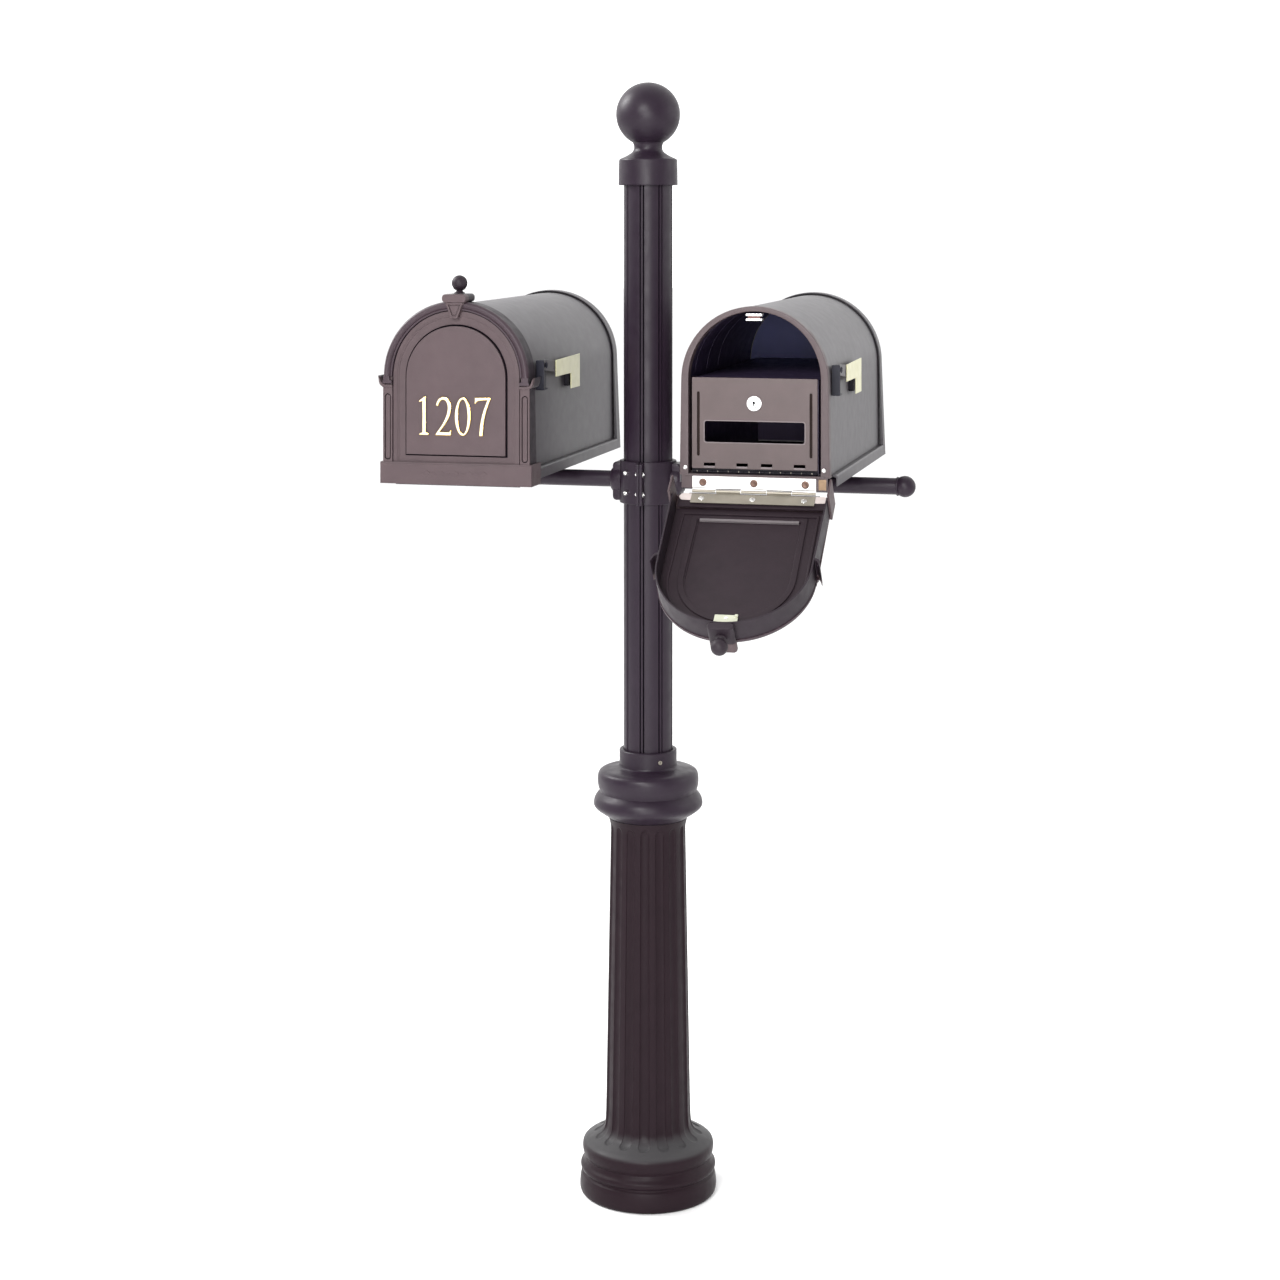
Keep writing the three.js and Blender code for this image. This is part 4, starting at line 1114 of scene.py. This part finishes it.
def slot_backing():
    """Dark strips behind the side slots: painted shade of the box's inside seen through them."""
    depth = (SHEET_BACK + 0.1, SHEET_BACK + 0.7)
    return merged(*[block((x - 3.4, x + 3.4), depth, (1172, 1270), 0.1) for x in SIDE_SLOTS])


def lock_barrel():
    """Flanged ring that the plug turns in."""
    front = -268.5
    return turned([
        (6.3, 0.5), (6.8, 0), (8.2, 0), (8.6, 0.4), (10.2, 0.7), (10.8, 1.4), (10.8, 3.2),
        (8.1, 3.2), (8.1, 13), (6.3, 13)], (0, front, LOCK_Z), "+Y", 56)


def lock_plug():
    """Plug with the tongue that it turns behind the sheet."""
    return merged(
        turned([(0, 0.2), (2.2, 0), (5.2, 0), (5.8, 0.5), (5.8, 16), (0, 16)],
               (0, -269.2, LOCK_Z), "+Y", 40),
        slab(circle(0, LOCK_Z, 7.4, 28), -254, -252.2, 0.3),
        slab([*arc(25, LOCK_Z, 6, -90, 90, 10), (0, LOCK_Z + 6), (0, LOCK_Z - 6)],
             -253.8, -252, 0.4))


def keyway():
    """Dark patch on the plug's face: painted shade for the key slot."""
    return merged(slab(rectangle(-0.9, 0.9, LOCK_Z - 3.4, LOCK_Z + 3.2), -269.35, -268.6, 0.1),
                  slab(circle(0, LOCK_Z + 1.2, 2.1, 20), -269.35, -268.6, 0.1))


def flag_arm():
    """Strap from the stud back to the flag, with a short slot near its end."""
    y, z = FLAG_PIVOT
    outline = [*arc(y, z, 8, 90, 262, 18), (-148.4, 1284.2), (-148.4, 1302)]
    holes = [circle(y, z, 3.3, 20), stadium(-163, 1288, 1295, 1.8)]
    return slab(outline, 114.1, 115.9, 0.4, holes, axis="X")


def flag():
    """Painted plate: an arm with a square leg below its far end."""
    outline = [(-158, 1278), (-73, 1278), (-73, 1254), (-23, 1254), (-23, 1305), (-158, 1303)]
    return slab(outline, 116.2, 117.8, 0.4, axis="X")


# ---- house number ----

def figure_one():
    """The figure 1, about x = 0, 57 mm high."""
    return [(-7.5, 0), (7.5, 0), (7.5, 2.4), (2.7, 4.6), (2.7, 57), (0, 57), (-8, 51), (-7, 48.4),
            (-2.7, 49.6), (-2.7, 4.6), (-7.5, 2.4)]


def figure_two():
    """The figure 2, in the same frame."""
    return [(-12, 0), (12, 0), (12.5, 8), (10.4, 8), (9, 5.4), (-5, 5.4),
            *bezier((-5, 5.4), (4, 18), (12.2, 27), (12.2, 41))[1:],
            *bezier((12.2, 41), (12.2, 62), (-10.6, 62), (-11.6, 44)), (-11.6, 44), (-7.6, 43),
            *bezier((-7.6, 43), (-6, 56), (6.6, 56), (6.6, 41))[1:],
            *bezier((6.6, 41), (6.6, 28), (-3, 14), (-12, 2.6)), (-12, 2.6)]


def ellipse(half_width, low, high, steps=40):
    """An upright ellipse about x = 0."""
    middle, half = (low + high) / 2, (high - low) / 2
    return [(half_width * u, middle + half * v) for u, v in circle(0, 0, 1, steps)]


def figure_seven():
    """The figure 7, in the same frame."""
    return [(-4.6, 0), (1, 0), *bezier((1, 0), (1, 20), (5.5, 36), (12.6, 53.6))[1:], (12.6, 53.6),
            (12.6, 57), (-11.6, 57), (-12, 47.6), (-9.6, 47.6),
            *bezier((-9.6, 47.6), (-9, 51), (-7, 52.6), (7.4, 52.6))[1:],
            *bezier((7.4, 52.6), (0, 36), (-4.6, 20), (-4.6, 0))]


def house_number(low, high, bevel, inset=0.0):
    """The four figures from low to high in y, as (name, mesh) pairs."""
    figures = [(figure_one(), ()), (figure_two(), ()),
               (ellipse(12.4, 0, 57), [ellipse(7.2, 3.6, 53.4)]), (figure_seven(), ())]
    made = []
    for i, (outline, holes) in enumerate(figures):
        mesh = slab(outline, low, high, bevel, holes, inset=inset)
        mesh.transform(Matrix.Translation((-3 + (i - 1.5) * 30, 0, 1198)))
        made.append((f"number_{i + 1}", mesh))
    return made


# ---- one letter box ----

def placed(mesh, x, angle=0.0):
    """Moves what was drawn about x = 0 to its box, turned by angle at the door's hinge."""
    hinge = Matrix.Translation((0, HINGE_Y, HINGE_Z))
    turn = hinge @ Matrix.Rotation(math.radians(angle), 4, "X") @ hinge.inverted()
    mesh.transform(Matrix.Translation((x, 0, 0)) @ turn)
    return mesh


def adder(side, x, body, angle=0.0):
    """A function that puts a piece of one box in its place, on one body."""
    def add(name, mesh, material, slot, *nodes, **more):
        new_piece(f"{side}_{name}", placed(mesh, x, angle), material, body, slot,
                  [f"{side}_{cad}" for cad in nodes], **more)
    return add


def build_fixed(side, x):
    """What is fastened to the post."""
    add = adder(side, x, "post")
    add("shell", body_shell(), BOX_COAT, "box_coat", "body_shell", sharp=20)
    add("liner", liner(), INSIDE_COAT, "box_coat", sharp=20)
    add("end_cap", rear_cap(), BOX_COAT, "box_coat", "rear_cap")
    add("floor", floor_pan(), BOX_COAT, "box_coat", "floor_pan")
    add("mouth_ring", front_frame(), FRAME_COAT, "door_coat", "front_frame")
    add("sheet_hinge", sheet_hinge(), DARK_COAT, "insert_coat")
    add("hinge_pins", knuckle_marks(), GREY_ZINC, "stainless")
    add("cheeks", strike(), NICKEL, "chrome", "strike")
    add("magnet", magnet(), MAGNET_RED, "chrome")
    add("back_lining", back_lining(), LIT_BLUE, "box_coat")
    add("back_foot", back_foot(), SHADE_BLUE, "box_coat")
    add("deck", insert_housing(), INSIDE_COAT, "box_coat", "insert_housing")
    add("fixed_leaf", hinge_leaf("box"), WHITE_ZINC, "stainless", "box_hinge_leaf")
    add("fixed_knuckles", hinge_knuckles("box"), GREY_ZINC, "stainless")
    add("pin", rod(1.4, 181, (-90.5, HINGE_Y, HINGE_Z), "+X", 0.3, 16), STAINLESS, "stainless",
        "hinge_pin")
    add("bracket", flag_bracket(), BRACKET_SHADE_COAT, "box_coat", "flag_bracket")
    add("flag_rest", flag_rest(), DARK_COAT, "box_coat")
    add("apron_end", block((94, 105), (FRAME_FRONT - 0.5, FRAME_FRONT + 0.6), (1130, 1145), 0.2),
        BRONZE_SHEET, "insert_coat")
    for word, corner in SIDES.items():
        head = screw_head((corner * 101.4, FRAME_FRONT + 0.2, 1158), "-Y", 3.2, 1.5, 20)
        add(f"ring_screw_{word}", head, STAINLESS, "stainless")
    for i, at in enumerate(LEAF_SCREWS, 1):
        add(f"leaf_rivet_{i}", rivet((at, HINGE_Y + 1.6, 1137.2), "-Y", 5.6, 1.0), RIVET_BRONZE,
            "insert_coat")


def build_door(side, x, angle):
    """The door with its half of the hinge; only the left one carries the house number."""
    body = f"{side}_door"
    add = adder(side, x, body, angle)
    front = merged(door_front(), *both(pilaster), *both(ear), band(), band_ornament(), keystone())
    add("door_casting", front, DOOR_COAT, "door_coat", "door")
    add("door_wall", door_edge(), DOOR_SHADE_COAT, "door_coat")
    add("door_grooves", door_grooves(), GROOVE_SHADE_COAT, "door_coat")
    add("hood", hood(), HOOD_SHADE_COAT, "door_coat")
    add("door_inside", merged(dish_relief(), inner_skin()), DISH_COAT, "door_coat")
    add("door_ledge", panel_ledge(), LEDGE_REFLECTION_COAT, "door_coat")
    # The knob too is in the door's coat darkened as painted shade.
    add("knob", door_knob(), DOOR_SHADE_COAT, "door_coat", "door_knob")
    add("catch", catch_plate(), CATCH_ZINC, "zinc", "catch_plate")
    add("catch_screw", screw_head((0, -269.5, CATCH_Z - 1.8), "+Y", 2.8, 0.7), STAINLESS,
        "stainless")
    add("plate", hinge_plate(), CREAM_ZINC, "zinc", "hinge_plate")
    add("door_leaf", hinge_leaf("door"), GREY_ZINC, "stainless", "door_hinge_leaf")
    add("door_knuckles", hinge_knuckles("door"), GREY_ZINC, "stainless")
    for i, at in enumerate(LEAF_SCREWS):
        add(f"leaf_screw_{i + 1}", screw_head((at, HINGE_Y - 1.6, 1137.5), "+Y", 4.2, 1.0, 30 * i),
            STAINLESS, "stainless")
    if side == "left":
        for name, mesh in house_number(-291.1, -288.3, 1.1):
            new_piece(f"{name}_brass", placed(mesh, x, angle), BRASS, body, "brass", [name])
        # Pale inlays on the figures' faces paint the highlight on the polished brass.
        for name, mesh in house_number(-291.3, -290.9, 0.1, 1.0):
            new_piece(f"{name}_face", placed(mesh, x, angle), BRASS_HIGHLIGHT, body, "brass")


def build_insert(side, x):
    """The locked sheet and its lock."""
    add = adder(side, x, f"{side}_panel")
    add("locked_sheet", insert_panel(), INSERT_COAT, "insert_coat", "insert_panel")
    add("slot_trim", slot_trim(), TRIM_COAT, "insert_coat")
    add("slot_backing", slot_backing(), SLOT_SHADE_COAT, "insert_coat")
    add("lock_ring", lock_barrel(), NICKEL, "chrome", "lock_barrel")
    add = adder(side, x, f"{side}_lock")
    add("lock_core", lock_plug(), NICKEL, "chrome", "lock_plug")
    add("keyway", keyway(), DARK_COAT, "chrome")


def build_flag(side, x):
    """The flag and the strap that it hangs from."""
    add = adder(side, x, f"{side}_flag")
    add("flag_strap", flag_arm(), BOX_COAT, "box_coat", "flag_arm")
    add("flag_plate", flag(), FLAG_PAINT, "flag_coat", "flag")


# ---- setting ----

ROOM_FRONT, ROOM_BACK = 0.36, 1.7     # brightness of the surroundings before and behind
LIGHTS = {                            # place and size in metres, power in watts
    "key": ((-3.4, 0.2, 3.6), 2.2, 190),
    "side": ((3.8, 0.9, 2.0), 2.0, 15),
    "front": ((-0.3, -4.2, 3.0), 1.5, 165),
    "low front": ((0.8, -4.4, 1.35), 1.0, 84),
}


def white_floor():
    """Wide round floor, the same white all over but for a faint unevenness."""
    mesh = bpy.data.meshes.new("floor")
    mesh.from_pydata([(40 * x, 40 * y, 0) for x, y in circle(0, 0, 1, 64)], [], [tuple(range(64))])
    paper, tree, shader = plain_shader("white floor", 0.9)
    shader.inputs["Specular IOR Level"].default_value = 0.1
    tint(tree, shader, noise(tree, 1.5, 2), (0.91, 0.91, 0.91), (0.93, 0.93, 0.93))
    mesh.materials.append(paper)
    floor = bpy.data.objects.new("floor", mesh)
    bpy.context.scene.collection.objects.link(floor)


def white_room():
    """Surroundings that light less from the front, and are white wherever the camera sees them."""
    world = bpy.data.worlds.new("white room")
    world.use_nodes = True
    tree = world.node_tree
    split = node(tree, "SeparateXYZ", Vector=node(tree, "TexCoord").outputs["Generated"])
    fade = node(tree, "MapRange", Value=split.outputs["Y"], From_Min=-0.6, From_Max=0.35,
                To_Min=ROOM_FRONT, To_Max=ROOM_BACK)
    backdrop = node(tree, "Math")
    backdrop.operation = "MAXIMUM"
    tree.links.new(fade.outputs["Result"], backdrop.inputs[0])
    tree.links.new(node(tree, "LightPath").outputs["Is Camera Ray"], backdrop.inputs[1])
    feed(tree, tree.nodes["Background"], "Strength", backdrop.outputs["Value"])
    feed(tree, tree.nodes["Background"], "Color", (1, 1, 1, 1))
    bpy.context.scene.world = world


def soft_light(name, place_m, size_m, power):
    """A round area light that faces the middle of the post."""
    lamp = bpy.data.lights.new(name, "AREA")
    lamp.shape = "DISK"
    lamp.size = size_m
    lamp.energy = power
    holder = bpy.data.objects.new(name, lamp)
    holder.location = place_m
    aim = Vector((0, 0, 1.0)) - Vector(place_m)
    holder.rotation_euler = aim.to_track_quat("-Z", "Y").to_euler()
    bpy.context.scene.collection.objects.link(holder)


def studio():
    """White floor, white room and large soft lights; Standard keeps their white white."""
    white_floor()
    white_room()
    bpy.context.scene.view_settings.view_transform = "Standard"
    for name, light in LIGHTS.items():
        soft_light(name, *light)


def camera():
    """Level camera to the right of the front, its picture shifted down to take in the foot."""
    lens = bpy.data.cameras.new("camera")
    lens.sensor_width = 36
    lens.lens = 70.3125
    lens.shift_y = -0.34375
    lens.clip_end = 50
    eye = bpy.data.objects.new("camera", lens)
    eye.location = (0.9267, -3.7976, 1.545)
    eye.rotation_euler = (math.radians(90), 0, math.radians(13.9))
    bpy.context.scene.collection.objects.link(eye)
    bpy.context.scene.camera = eye


build_post()
for side, x, angle in (("left", -BOX_X, 0.0), ("right", BOX_X, OPEN_ANGLE)):
    build_fixed(side, x)
    build_door(side, x, angle)
    build_insert(side, x)
    build_flag(side, x)
studio()
camera()
